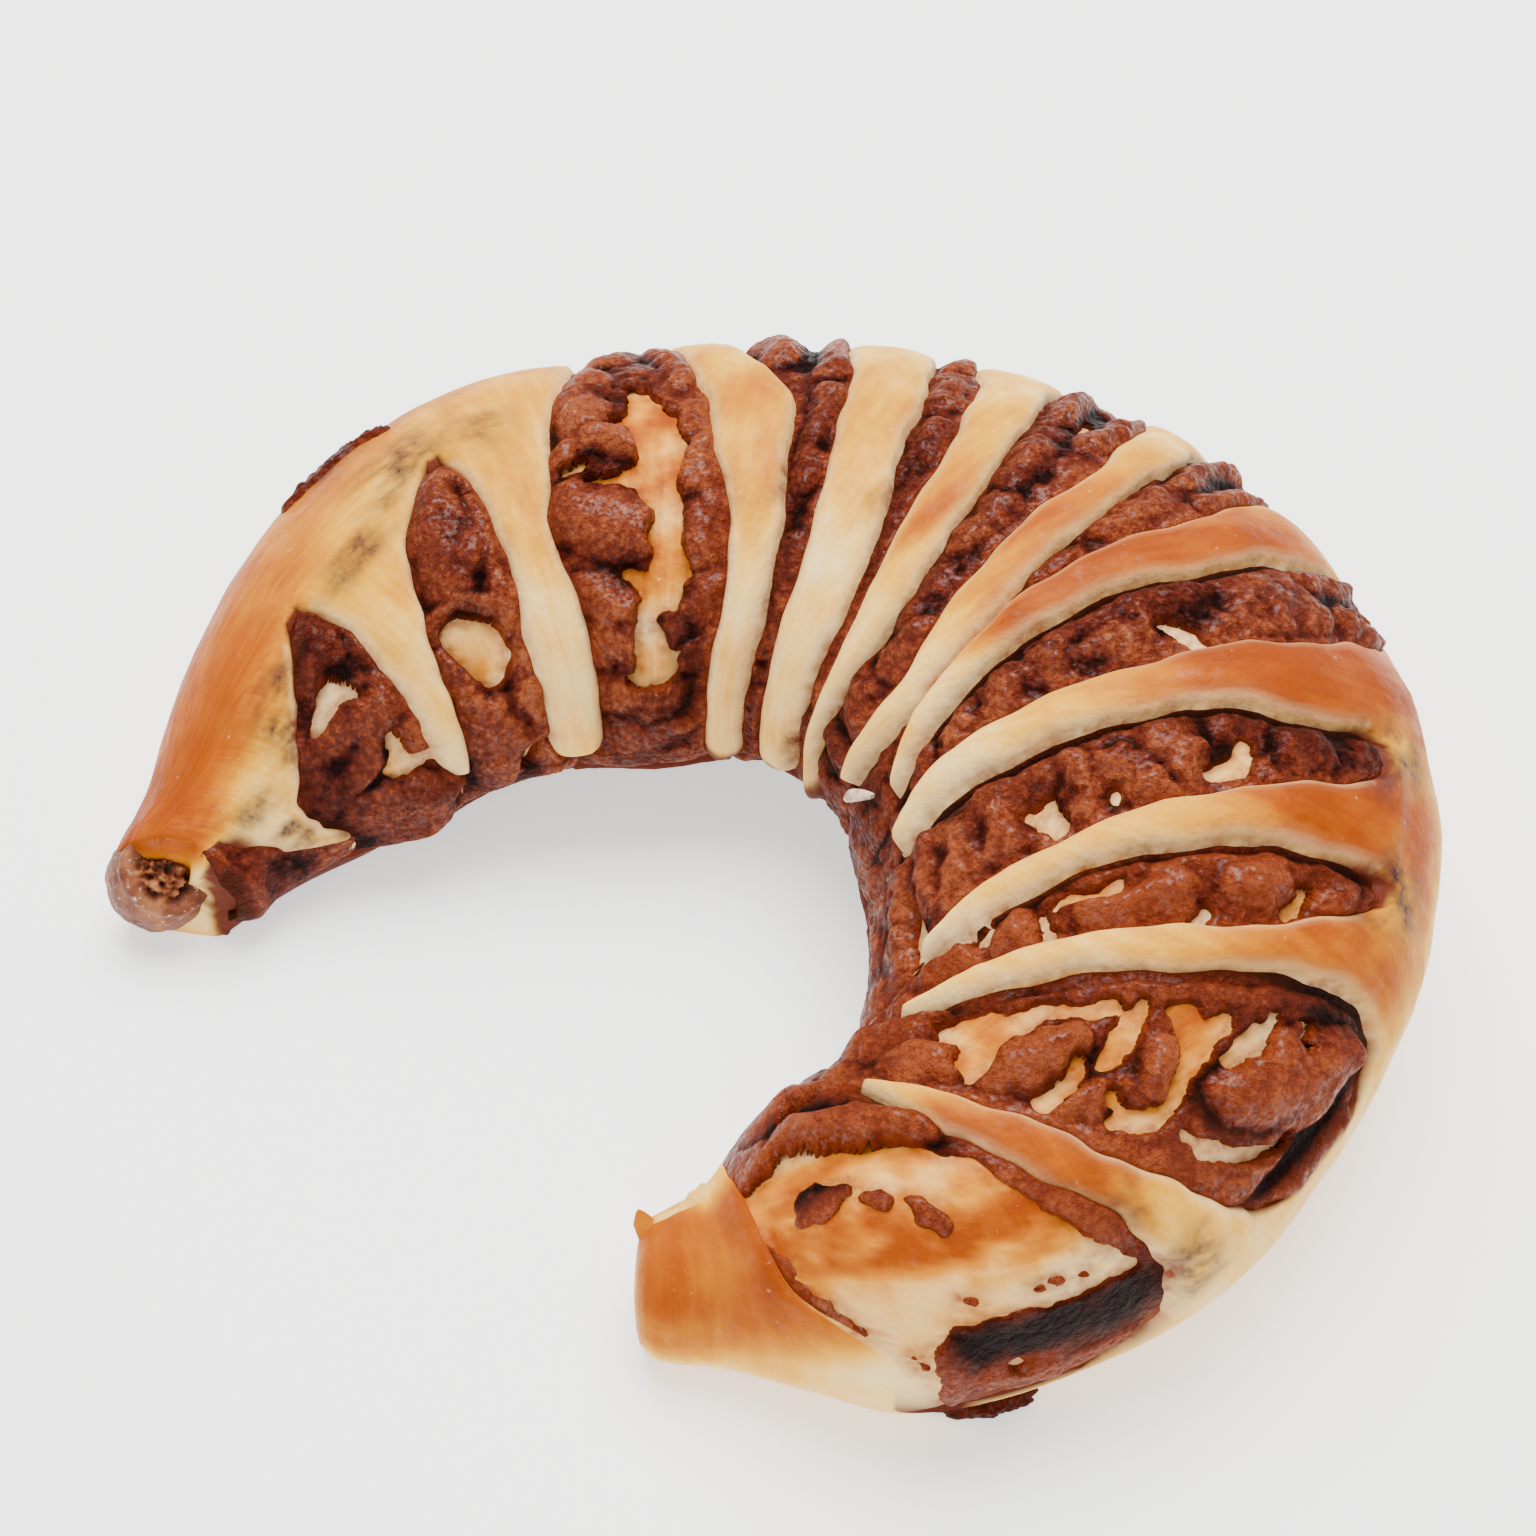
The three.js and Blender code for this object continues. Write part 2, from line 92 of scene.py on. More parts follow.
# Where the whole skin of either end starts: ring angles at STOPS.
LEFT_SKIN = [176, 176, 176, 176, 176, 176, 176.4, 176.4, 176.4]
FRONT_SKIN = [-67, -73.2, -75, -75.8, -76.4, -77, -77, -77, -77]
# Windows between the strips: the roll angles at which each opens and shuts, and the length of its
# rounded top.
OPENS = [116, 78, 78, 16, 16, 18, 20, 24, 20, 40, 34, 2, -34]
SHUTS = [203, 200, 200, 198, 206, 196, 198, 196, 196, 190, 188, 182, 182]
TOPS = [26, 18, 14, 12, 12, 12, 12, 12, 12, 14, 14, 14, 20]


# A smooth curve through the points (xs, ys), read at x.
def through(xs, ys, x):
    xs, ys = np.asarray(xs, float), np.asarray(ys, float)
    n = len(xs)
    before, after = np.maximum(np.arange(n) - 1, 0), np.minimum(np.arange(n) + 1, n - 1)
    slope = (ys[after] - ys[before]) / (xs[after] - xs[before])
    k = np.clip(np.searchsorted(xs, x) - 1, 0, n - 2)
    span = xs[k + 1] - xs[k]
    t = np.clip((x - xs[k]) / span, 0, 1)
    u = 1 - t
    values = ys[k] * u * u * (1 + 2 * t) + ys[k + 1] * t * t * (3 - 2 * t)
    return values + span * t * u * (slope[k] * u - slope[k + 1] * t)


# Nought at low, one at high, and a soft change between them.
def ease(low, high, x):
    t = np.clip((x - low) / (high - low), 0, 1)
    return t * t * (3 - 2 * t)


def mix(a, b, t):
    return a + (b - a) * t


def half_width(phi):
    return through(SECTIONS[:, 0], SECTIONS[:, 2], phi)


def thinner(phi):
    return np.minimum(1, half_width(phi) / FULL_FROM)


# Points in millimetres at ring angle phi and roll angle theta, lifted off the smooth roll. A share
# below one draws them in towards the middle of the section.
def on_roll(phi, theta, lift=0.0, share=1.0):
    phi, theta = np.broadcast_arrays(np.asarray(phi, float), np.asarray(theta, float))
    radius = through(SECTIONS[:, 0], SECTIONS[:, 1], phi)
    height = through(SECTIONS[:, 0], SECTIONS[:, 3], phi)
    belly = BELLY * height
    inner_foot = ease(186, 212, theta) * (1 - ease(228, 250, theta)) * ease(0, 30, phi)
    lift = lift - TUCK * inner_foot * thinner(phi)
    c, s = np.cos(np.radians(theta)), np.sin(np.radians(theta))
    power = np.where(s < 0, 2 / SQUARENESS, 1.0)
    rise = np.where(s < 0, belly + SLUMP, height - belly)
    across = (half_width(phi) + lift) * np.sign(c) * np.abs(c) ** power
    up = (rise + lift) * np.sign(s) * np.abs(s) ** power
    r = radius + share * across
    a = np.radians(phi)
    return np.stack([RING_X + r * np.cos(a), RING_Y + r * np.sin(a), np.maximum(0, belly + share * up)], -1)


# Millimetres of surface for a degree of ring angle, and for a degree of roll angle.
def ring_degree(phi, theta):
    p = on_roll(phi, theta)
    return np.radians(np.hypot(p[..., 0] - RING_X, p[..., 1] - RING_Y))


def roll_degree(phi):
    return np.radians(half_width(phi) * 0.9)


# A quarter round: nought at no distance, one from the span on.
def rounded(distance, span):
    t = np.clip(distance / span, 0, 1)
    return np.sqrt(t * (2 - t))


# Ring angle of a strip's edge, wavering a little: side 1 is nearer the front end, -1 nearer the left
# end. The skin of the left end comes before the first strip, and the front cap after the last.
def strip_edge(k, theta, side):
    if k < 0:
        return through(STOPS, LEFT_SKIN, theta)
    if k == len(STRIPS):
        return through(STOPS, FRONT_SKIN, theta)
    mid, wide, tip, taper = STRIPS[k]
    wave = 0.35 * np.sin(0.21 * theta + 2.3 * k + side) + 0.2 * np.sin(0.47 * theta + 5.1 * k - 2 * side)
    half = through(STOPS, wide, theta) / 2 * rounded(tip - theta, taper)
    return through(STOPS, mid, theta) - side * np.maximum(half + 0.6 * wave * ease(0, 20, tip - theta), 0.1)


# Ring angles of a window's edges, the one nearer the left end first.
def window_edges(k, theta):
    left, right = strip_edge(k - 1, theta, 1), strip_edge(k, theta, -1)
    middle = (left + right) / 2
    half = np.maximum((left - right) / 2 * rounded(theta - OPENS[k], TOPS[k]), 0.15)
    return middle + half, middle - half


# How open a window is at a roll angle, from nought to one.
def opened(k, theta):
    return ease(0, 7, theta - OPENS[k]) * (1 - ease(SHUTS[k] - 6, SHUTS[k], theta))


# Noise at points, in lumps about scale millimetres across. Hard noise has creases.
def fractal(points, scale, octaves, offset=0.0, hard=False):
    shape = points.shape[:-1]
    flat = (points.reshape(-1, 3) / scale + offset).tolist()
    if hard:
        values = [noise.turbulence(p, octaves, True) for p in flat]
    else:
        values = [noise.fractal(p, 1.0, 2.0, octaves) for p in flat]
    return np.array(values).reshape(shape)


# Soft patches given by ring angle, roll angle, reach in either and strength: the strongest at a place.
def patches(rows, phi, theta, sharp=2.0):
    best = np.zeros(np.broadcast(phi, theta).shape)
    for phi0, theta0, phi_reach, theta_reach, strength in rows:
        far = np.hypot((phi - phi0) / phi_reach, (theta - theta0) / theta_reach)
        best = np.maximum(best, strength * np.exp(-np.log(2) * far ** (2 * sharp)))
    return best


# For each step of each stroke, a row of (ring angle, roll angle, radius): the stroke's number, the
# step's radius and the distance to its middle line at every place, in millimetres.
def stroke_steps(strokes, phi, theta):
    ring_mm, roll_mm = ring_degree(phi, theta), roll_degree(phi)
    for number, stroke in enumerate(strokes):
        for (phi0, theta0, radius0), (phi1, theta1, radius1) in zip(stroke, stroke[1:]):
            ax, ay = (phi - phi0) * ring_mm, (theta - theta0) * roll_mm
            bx, by = (phi1 - phi0) * ring_mm, (theta1 - theta0) * roll_mm
            t = np.clip((ax * bx + ay * by) / (bx * bx + by * by), 0, 1)
            yield number, mix(radius0, radius1, t), np.hypot(ax - t * bx, ay - t * by)


# How many millimetres a place lies inside the nearest stroke.
def inside_strokes(strokes, phi, theta):
    best = np.full(np.broadcast(phi, theta).shape, -20.0)
    for _, radius, distance in stroke_steps(strokes, phi, theta):
        best = np.maximum(best, radius - distance)
    return best


# Where paste is missing in a window and the inner turn of dough shows, as strokes.
BARE = {
    1: [
        [(159, 116, 0.5), (156.6, 112, 1.1), (154, 109, 1.3), (152.6, 113, 0.9), (152, 117, 0.5)],
        [(153.2, 140, 0.5), (154.2, 149, 1.1), (154.4, 154, 1.5), (151.4, 156.5, 0.9)],
    ],
    2: [
        [(133.6, 129, 1.9), (131.6, 135, 2.6), (131, 142, 2.3), (131.6, 147.5, 1.2)],
        [(131, 140, 1.6), (128.6, 142.5, 1.3)],
        [(129, 176.5, 0.8), (130.8, 181, 0.6)],
    ],
    3: [
        [(94.2, 72, 0.6), (93.3, 77, 1.5), (92.6, 84, 2.6), (91, 90, 2.8), (90.2, 97, 3), (90.6, 103, 2.8)],
        [(90.6, 103, 2.8), (90.3, 108, 2.4), (88.6, 114, 1.7), (88.4, 120, 2), (87.9, 127, 2)],
        [(87.9, 127, 2), (88.4, 133, 2.6), (89.2, 138, 2.1), (91, 142, 1.8), (91, 148, 2.1)],
        [(91.3, 148, 1.8), (90, 153, 2.2), (91, 158.5, 1.9)],
        [(96.8, 86, 0.5), (93.5, 86.5, 1)],
        [(101.8, 103.3, 0.5), (97, 104.5, 1), (92, 105, 1.8)],
        [(96, 131, 0.8), (92, 133.5, 1.8)],
        [(98, 159, 0.8), (94, 159.5, 1.5), (88, 158.5, 1.7)],
        [(105, 99, 0.5), (102.3, 98, 0.8)],
    ],
    6: [[(45.2, 56, 0.4), (43.6, 66, 0.6)]],
    8: [[(8.9, 81, 1.1), (10.6, 84, 1.3), (12.2, 87.4, 0.9)]],
    9: [
        [(-3, 75, 0.8), (-5.5, 76.5, 1.3), (-7.2, 81, 0.8)],
        [(-10.5, 100, 0.45), (-12, 99.5, 0.45)],
        [(-12.3, 113, 0.8), (-14.5, 112.5, 1.6), (-16.2, 109.5, 0.9)],
        [(-14.5, 112.5, 1.4), (-13.4, 118, 0.7)],
        [(-28, 147, 0.5), (-31, 145, 0.9), (-35, 141.5, 1.2), (-38, 140, 1), (-40, 139.5, 0.5)],
    ],
    10: [
        [(-15, 55, 0.6), (-17, 55.5, 0.9), (-18, 57.5, 0.5)],
        [(-21.5, 73.5, 0.5), (-23.3, 75.5, 0.6)],
        [(-21.6, 93.5, 0.5), (-23.5, 96, 0.7), (-25, 103, 0.7), (-26.4, 105, 0.5)],
        [(-28, 107.5, 0.4), (-30.5, 104, 0.7)],
        [(-31, 119.5, 0.6), (-33.3, 120.5, 0.6)],
        [(-32.4, 126, 0.7), (-34.5, 130, 1), (-35, 134, 0.7)],
    ],
    11: [
        [(-25, 40, 0.8), (-26.5, 37.5, 0.8)],
        [(-26.5, 48, 0.7), (-29.5, 49, 1.3), (-32, 51.5, 0.8)],
        [(-31.5, 22, 0.6), (-34, 25, 1), (-36.5, 32, 1), (-38.3, 40, 0.9), (-39, 47, 0.6)],
        [(-29, 57.5, 0.5), (-33, 60, 2), (-31.6, 66, 1.6)],
        [(-33, 60, 1.6), (-37, 57, 1), (-40.5, 56.5, 1.3), (-42.3, 62, 1.3), (-41.5, 68, 0.8)],
        [(-32.8, 76, 0.6), (-36.5, 75.5, 1.2), (-39.5, 74, 1)],
        [(-40.8, 80, 0.5), (-43.5, 77.5, 1.1), (-46.5, 78.5, 1.1)],
        [(-34.4, 81, 0.5), (-36.8, 86, 0.8), (-37.4, 91, 0.7), (-38.8, 96, 0.9)],
        [(-38.8, 96, 0.9), (-42, 99, 1.3), (-44.5, 105, 2.4), (-48, 101, 1.6), (-49.6, 97.5, 0.7)],
        [(-44.5, 105, 2.4), (-46, 112, 1.7), (-46, 117, 0.8)],
    ],
    12: [
        [(-47.6, 23.5, 0.6), (-49.2, 27.5, 1.5), (-52, 31.5, 2.8), (-55.5, 38.5, 4), (-60, 45, 5.5)],
        [(-60, 45, 5.5), (-66, 50, 6.5), (-69.5, 54, 4)],
        [(-48.8, 30, 0.8), (-50.6, 37.5, 1.3), (-53, 47.5, 1.9), (-55.4, 58.5, 2.2), (-58.4, 68, 3)],
        [(-65, 36, 4), (-67.2, 24, 3.6), (-67.4, 10, 3.4), (-67.4, 0, 4), (-67, -12, 4), (-66, -24, 4.4)],
        [(-55.6, 60, 2), (-58, 68, 3.4), (-62, 76, 4.2), (-67, 84, 4), (-70, 91, 3.4), (-73.5, 84, 3)],
        [(-59, 60, 4.4), (-63, 66, 6), (-70, 72, 4.5)],
        [(-57.2, -3, 0.5), (-57.8, 0, 0.7)],
        [(-64.5, 122, 0.5), (-67, 124, 0.8), (-69.3, 121, 0.5)],
    ],
}
# Paste left lying on the bare dough.
SPOTS = {
    3: [[(88.5, 143.5, 1), (86, 146, 1.2), (85, 151, 0.6)]],
    11: [
        [(-38.6, 62, 1.6), (-35.6, 66, 1.7), (-33.6, 69, 1)],
        [(-41, 72, 0.8), (-44.5, 72.5, 1)],
        [(-42.5, 65, 0.4), (-43.2, 67, 0.4)],
    ],
    12: [
        [(-71.4, 72.5, 1.0), (-70.4, 77, 1.7), (-69, 80, 1.7), (-67.4, 80.5, 0.9)],
        [(-65.5, 75.5, 0.9), (-64.5, 72.5, 1.1)],
        [(-62.3, 70.5, 0.7), (-61.5, 65.5, 1.2), (-60.6, 61, 1.0)],
        [(-73, 40, 0.7), (-71.6, 35.5, 0.9)],
        [(-70.6, 30.5, 0.9), (-69.2, 25.5, 0.8)],
        [(-65.8, 16.5, 0.5), (-65.2, 12, 0.45)],
        [(-54.3, 33.5, 0.45), (-53.7, 32.5, 0.5)],
        [(-51.8, 30.5, 0.45), (-51.3, 29.5, 0.5)],
        [(-55.6, 33.2, 0.4), (-55.2, 32.2, 0.4)],
        [(-61.2, 36, 0.4), (-60.6, 35, 0.5)],
    ],
}

# Roll angles of the rows of the dough, close together down to the inner foot, wider apart underneath.
FIRST_ROW, FOOT, LAST_ROW = -34, 200, 326
DOUGH_ROWS = np.concatenate([np.linspace(FIRST_ROW, FOOT, 194), np.linspace(FOOT, LAST_ROW, 30)[1:]])
# Where the lines across a strip lie, and the walls of a window, as shares of the width.
STRIP_SHARES = [0.04, 0.09, 0.16, 0.26, 0.38, 0.5, 0.62, 0.74, 0.84, 0.91, 0.96]
WALL = 0.05
# How far the inner turn lies below the smooth roll, how far and over what width the edges of a strip
# round down, and how far its back domes up.
FLOOR, LIP, LIP_REACH, PUFF = -2.2, 1.5, 1.7, 0.6
# A distance from a slit at which it leaves no mark.
FAR = 50.0
# How the skin closes over either end: degrees past it, and the share of the section that is left.
LEFT_CLOSING = [
    (-1.0, 0), (-0.6, 0.12), (0, 0.3), (0.4, 0.45), (0.7, 0.62), (0.9, 0.76), (0.9, 0.9), (0.6, 0.97),
]
FRONT_CLOSING = [(0.9, 0.95), (1.7, 0.88), (2.5, 0.75), (2.9, 0.58), (3.1, 0.38), (3.2, 0.2), (3.2, 0)]
# The lip with which the cap laps over the last window: degrees from the window's edge, and lift.
CAP_LIP = [(0.3, 0.1), (0.7, 0.55), (1.3, 0.75), (2.1, 0.5), (3.0, 0.2)]
CAP_LINES = [-79.5, -81, -82.6, -84.2, -85.6, FRONT_END]
# Where the inner turn bulges up in a window.
BULGES = [
    (-60, 56, 16, 32, 2.1), (-66, -2, 4.5, 34, 2.1), (-36, 62, 12, 30, 1.0), (-46, 107, 7, 14, 1.0),
    (91, 115, 9, 50, 0.7),
]


def inner_turn(phi, theta):
    return FLOOR + patches(BULGES, phi, theta)


# Each line round the roll: ring angles over the rows, lift, share of the section, how open the window
# is, the window's number and the millimetres to the nearest slit.
dough_lines = []
fold = np.clip((DOUGH_ROWS - FOOT) / (LAST_ROW - FOOT), 0, 1)
top_rows = np.minimum(DOUGH_ROWS, FOOT)


# Ring angles over the rows. Underneath, they swing back to what they are in the first row.
def swung(angle_at):
    return mix(angle_at(top_rows), angle_at(np.full_like(top_rows, FIRST_ROW)), fold)


def add_dough_line(phi, lift=0.0, share=1.0, floor=0.0, window=-1, slit=FAR):
    full = np.zeros_like(DOUGH_ROWS)
    dough_lines.append((phi + full, lift + full, share, floor + full, window, slit + full))


# The skin stops short of the left end on its crown and outer side, where the rolled middle shows. Its
# lines still meet in the middle of the section.
SET_BACK = 1.6
above_foot = DOUGH_ROWS <= FOOT
set_back = SET_BACK * np.where(above_foot, 1 - ease(98, 122, DOUGH_ROWS), ease(250, LAST_ROW, DOUGH_ROWS))
for turn, share in LEFT_CLOSING:
    add_dough_line(LEFT_END + turn - set_back * min(1, share / 0.3), share=share)
# The rows in which the cap laps over the last window.
lapped = ease(24, 46, DOUGH_ROWS)
for k in range(len(OPENS)):
    left, right = swung(lambda t: window_edges(k, t)[0]), swung(lambda t: window_edges(k, t)[1])
    if k == 0:
        for step in (0, 0.35, 0.7):
            add_dough_line(mix(LEFT_END + 0.6 - set_back, left, step))
    here = np.where(above_foot, opened(k, DOUGH_ROWS), 0)
    cells = max(3, int(round(np.max(left - right) * 0.85)))
    for step in [0, *np.linspace(WALL, 1 - WALL, cells), 1]:
        phi = mix(left, right, step)
        depth = -LIP if step in (0, 1) else inner_turn(phi, DOUGH_ROWS)
        if k == len(STRIPS) and step == 1:
            depth = depth * lapped
        add_dough_line(phi, here * depth * thinner(phi), floor=here, window=k)
    if k == len(STRIPS):
        break
    next_left = swung(lambda t: window_edges(k + 1, t)[0])
    there = np.where(above_foot, opened(k + 1, DOUGH_ROWS), 0)
    shut = max(SHUTS[k], SHUTS[k + 1])
    past_tip = ease(-3, 1, DOUGH_ROWS - STRIPS[k][2]) * (1 - ease(shut - 6, shut, DOUGH_ROWS))
    for step in STRIP_SHARES:
        phi = mix(right, next_left, step)
        wide = np.maximum(right - next_left, 0.01) * ring_degree(phi, DOUGH_ROWS)
        near_left, near_right = step * wide, (1 - step) * wide
        dip_left, dip_right = 1 - rounded(near_left, LIP_REACH), 1 - rounded(near_right, LIP_REACH)
        drop = np.maximum(here * dip_left, there * dip_right)
        dome = np.maximum(here, there) * PUFF * (1 - (2 * step - 1) ** 2)
        lift = thinner(phi) * mix(dome - LIP * drop, FLOOR, past_tip)
        slit = np.minimum(near_left + FAR * (1 - here), near_right + FAR * (1 - there))
        add_dough_line(phi, lift, floor=past_tip, slit=slit)
# The cap's edge laps over the window beside it in a soft lip, which dies out below the torn top.
for turn, rise in CAP_LIP:
    add_dough_line(right - turn, rise * lapped * (1 - ease(120, 150, DOUGH_ROWS)))
for phi in CAP_LINES:
    add_dough_line(np.minimum(phi, dough_lines[-1][0] - 0.4))
for turn, share in FRONT_CLOSING:
    add_dough_line(FRONT_END - turn, share=share)

ring, lift, floor, slit = (np.array([line[i] for line in dough_lines]) for i in (0, 1, 3, 5))
share, window = (np.array([line[i] for line in dough_lines])[:, None] for i in (2, 4))
roll = np.broadcast_to(DOUGH_ROWS, ring.shape)
smooth = on_roll(ring, roll)
above = ease(-25, 5, roll) * (1 - ease(195, 215, roll))
# Soft swellings and small dimples of the skin.
lift = lift + above * (0.45 * fractal(smooth, 14, 2) + 0.1 * fractal(smooth, 3.5, 3, 20))

# Fibres drawn out along the strips, and along the ring on the outer side of the left arm: places in
# millimetres, pressed together the way that the fibres run.
along = roll * roll_degree(ring)
across = ring * ring_degree(ring, 90)
fibres = np.stack([across, along / 7, np.zeros_like(ring)], -1)
lengthwise = np.stack([across / 9, along, np.zeros_like(ring)], -1)
fibres = mix(fibres, lengthwise, (ease(124, 140, ring) * (1 - ease(50, 80, roll)))[..., None])
lift = lift + above * 0.1 * fractal(fibres, 1.6, 2, 33)
points = on_roll(ring, roll, lift, share)


# A grid of mesh through rows of points in millimetres.
def add_grid(name, rows):
    bpy.ops.mesh.primitive_grid_add(x_subdivisions=rows.shape[1] - 1, y_subdivisions=rows.shape[0] - 1)
    piece = bpy.context.object
    piece.name = name
    piece.data.vertices.foreach_set("co", (rows * MM).ravel())
    return piece


dough = add_grid("dough_roll", points.transpose(1, 0, 2))


def add_attribute(piece, name, values, kind="FLOAT"):
    layer = piece.data.attributes.new(name, kind, "POINT")
    field = "value" if kind == "FLOAT" else "vector"
    layer.data.foreach_set(field, np.ascontiguousarray(values, dtype=np.float32).ravel())


# How brown the crust is on each strip, from the left skin to the cap at the front: the roll angles
# between which it is browned, how soft the change is, and how brown it is there and on the crown.
BAKE = np.array([
    [-20, 122, 16, 0.84, 0.40], [-12, 98, 14, 0.78, 0.38], [-10, 70, 18, 0.64, 0.36],
    [-5, 56, 18, 0.48, 0.38], [64, 120, 16, 0.46, 0.26], [66, 110, 16, 0.48, 0.24],
    [74, 122, 16, 0.46, 0.26], [70, 124, 16, 0.5, 0.26], [34, 120, 18, 0.8, 0.4], [26, 97, 18, 1.0, 0.4],
    [20, 79, 14, 0.95, 0.3], [16, 68, 16, 0.82, 0.32], [48, 94, 14, 0.94, 0.36], [-4, 132, 24, 0.82, 0.5],
])
# Golden streaks and paler places on the skin, and browning of the inner turn in the windows.
STREAKS = [
    (136, 110, 2.2, 16, 0.12), (112.6, 106, 2.2, 15, 0.22), (78, 82, 1.6, 10, 0.16),
    (44.4, 112, 1.8, 11, 0.38), (32.2, 95, 1.8, 16, 0.3), (23.6, 88, 1.6, 26, 0.24),
    (18.5, 118, 2.2, 8, 0.3), (8.4, 62, 2.2, 18, 0.1), (143.5, 130, 3, 16, 0.1), (72, 120, 3, 24, 0.12),
    (21.3, 97, 1.8, 12, 0.14), (27, 118, 2, 10, 0.12), (-76.5, 60, 2, 30, 0.12), (-86.5, 60, 3, 26, 0.1),
    (170, 70, 5, 14, 0.12), (174, 40, 8, 30, 0.1),
]
PALE = [
    (1, 37, 3, 9, 0.5), (-11.5, 33, 3, 8, 0.45), (-79.6, 117, 2.4, 12, 0.6), (-68, 12, 6, 12, 0.3),
    (168, 103, 2.4, 8, 0.2), (178, 132, 5, 10, 0.4), (-88, 20, 6, 9, 0.15), (-12, 70, 1.2, 30, 0.12),
    (4.5, 90, 1.4, 24, 0.1),
]
INNER_BAKE = [
    (91.5, 88, 8, 24, 0.74), (90, 104, 12, 10, 0.78), (89, 128, 10, 12, 0.68), (92, 155, 8, 9, 0.42),
    (-60, 56, 16, 10, 0.98), (-69, 64, 8, 14, 0.96), (-55, 47, 7, 7, 0.7), (-56, 70, 5, 10, 0.6),
    (-70, 92, 9, 10, 0.74), (-73, 76, 5, 14, 0.66), (-66, 30, 8, 16, 0.34), (-69, 44, 6, 8, 0.5),
    (-58, 42, 5, 6, 0.5), (-63, 83, 7, 7, 0.6), (-34, 62, 9, 12, 0.68), (-46, 106, 8, 12, 0.72),
    (-39, 78, 11, 26, 0.52), (-38, 88, 5, 8, 0.66), (132.5, 137, 5, 12, 0.42), (-24, 98, 4, 8, 0.5),
    (-5, 77, 3, 6, 0.3), (156, 148, 4, 8, 0.3), (-42, 62, 3, 8, 0.5), (-14, 114, 4, 8, 0.2),
    (-17, 56, 3, 4, 0.4),
]
# Places where paste shows grey through the thin dough, and, low on some strips near the inner foot, painted
# shade.
SMUDGES_AND_SHADE = [
    (138, 89, 4.5, 4.5, 0.8), (124, 72, 5, 8, 0.7), (128.5, 80, 3, 5, 0.6), (113, 79, 3, 6, 0.5),
    (169.6, 145, 1.2, 5, 1), (119.5, 74, 3, 5, 0.6), (1.2, 39, 2.2, 7, 0.9), (-0.5, 46, 2.6, 5, 1),
    (-11, 34, 2.2, 7, 0.9), (-12.6, 41, 2, 4, 1), (125.5, 40, 5, 8, 0.8), (42, 165, 2, 14, 0.8),
    (45.5, 180, 3, 6, 0.7), (53, 108, 1.6, 6, 0.5), (69.5, 108, 1.2, 6, 0.5), (154, 165, 4, 4, 0.5),
    (8, 158, 3, 5, 0.7), (-43.5, 14, 1.8, 10, 0.8), (-46.5, 44, 1.4, 6, 0.6), (160.5, 104, 1.6, 12, 0.7),
    (156, 91, 2.4, 6, 0.6), (170, 122, 2.6, 9, 0.5), (168.4, 158, 1.8, 7, 0.6), (162.5, 118, 1.4, 10, 0.6),
    (166, 172, 2.4, 8, 0.5),
]
# Each place's number among the rows of BAKE, between the middles of the strips and of the end skins.
strip_middles = [swung(lambda t: through(STOPS, row[0], t)) for row in STRIPS]
middles = np.stack([np.full_like(DOUGH_ROWS, 178.0), *strip_middles, np.full_like(DOUGH_ROWS, -82.0)])
number = np.arange(len(BAKE))
among = np.stack([np.interp(-ring[:, j], -middles[:, j], number) for j in range(len(DOUGH_ROWS))], 1)
low, high, soft, brown, crown = (np.interp(among, number, BAKE[:, i]) for i in range(5))
baked = ease(-1, 1, (roll - low) / soft) * ease(-1, 1, (high - roll) / soft)
on_crown = ease(0, 40, roll) * (1 - ease(105, 140, roll))
bake = brown * baked + (1 - baked) * mix(0.13, crown, on_crown)
bake = np.maximum(bake + patches(STREAKS, ring, roll, 1.0) - patches(PALE, ring, roll, 1.0), 0.1)
bake = bake * (1 - 0.55 * np.exp(-(slit / 0.7) ** 2))
inner_bake = patches(INNER_BAKE, ring, roll, 1.2) * (1 + 0.5 * fractal(smooth, 4, 4, 90))
bake = mix(bake, inner_bake, np.clip(floor, 0, 1))
bake = bake + above * (0.12 * fractal(smooth, 9, 3, 40) + 0.10 * fractal(fibres, 1.3, 3, 50))
# The underside is browned from baking on a tray; on the tucked-in foot of the inner wall this brown is also
# painted shade.
brown_underside_and_shade = ease(190, 206, roll) * (1 - ease(296, 322, roll)) * ease(178, 174, ring)
bake = mix(bake, 0.8 + 0.12 * fractal(smooth, 8, 3, 45), brown_underside_and_shade)
# The closed ends: the left one is browned on its crown alone, the front one all over.
end_bake = np.where(ring > 90, mix(0.08, 0.72, ease(30, 75, roll) * (1 - ease(95, 120, roll))), 0.62)
bake = mix(bake, end_bake + 0.15 * fractal(points, 5, 3, 48), ease(0.95, 0.6, share))

# A thin red film of paste round the bare places, and where the slits are cut.
film = floor * 0.5
for k, strokes in BARE.items():
    lines = np.nonzero(window[:, 0] == k)[0]
    edge = inside_strokes(strokes, ring[lines], roll[lines])
    if k in SPOTS:
        edge = np.minimum(edge, -inside_strokes(SPOTS[k], ring[lines], roll[lines]))
    film[lines] = floor[lines] * np.clip(1.1 - edge / 1.4, 0, 1)
film = np.maximum(film, 0.8 * np.exp(-slit / 0.45))
film = film * np.clip(0.75 + 0.9 * fractal(smooth, 1.8, 3, 70), 0, 1.3)
smudge_and_shade = np.maximum(patches(SMUDGES_AND_SHADE, ring, roll, 1.0), 0.14 * np.exp(-slit / 0.6))
smudge_and_shade = smudge_and_shade * np.clip(0.95 + 1.2 * fractal(smooth, 2.6, 3, 60), 0.1, 1.5)
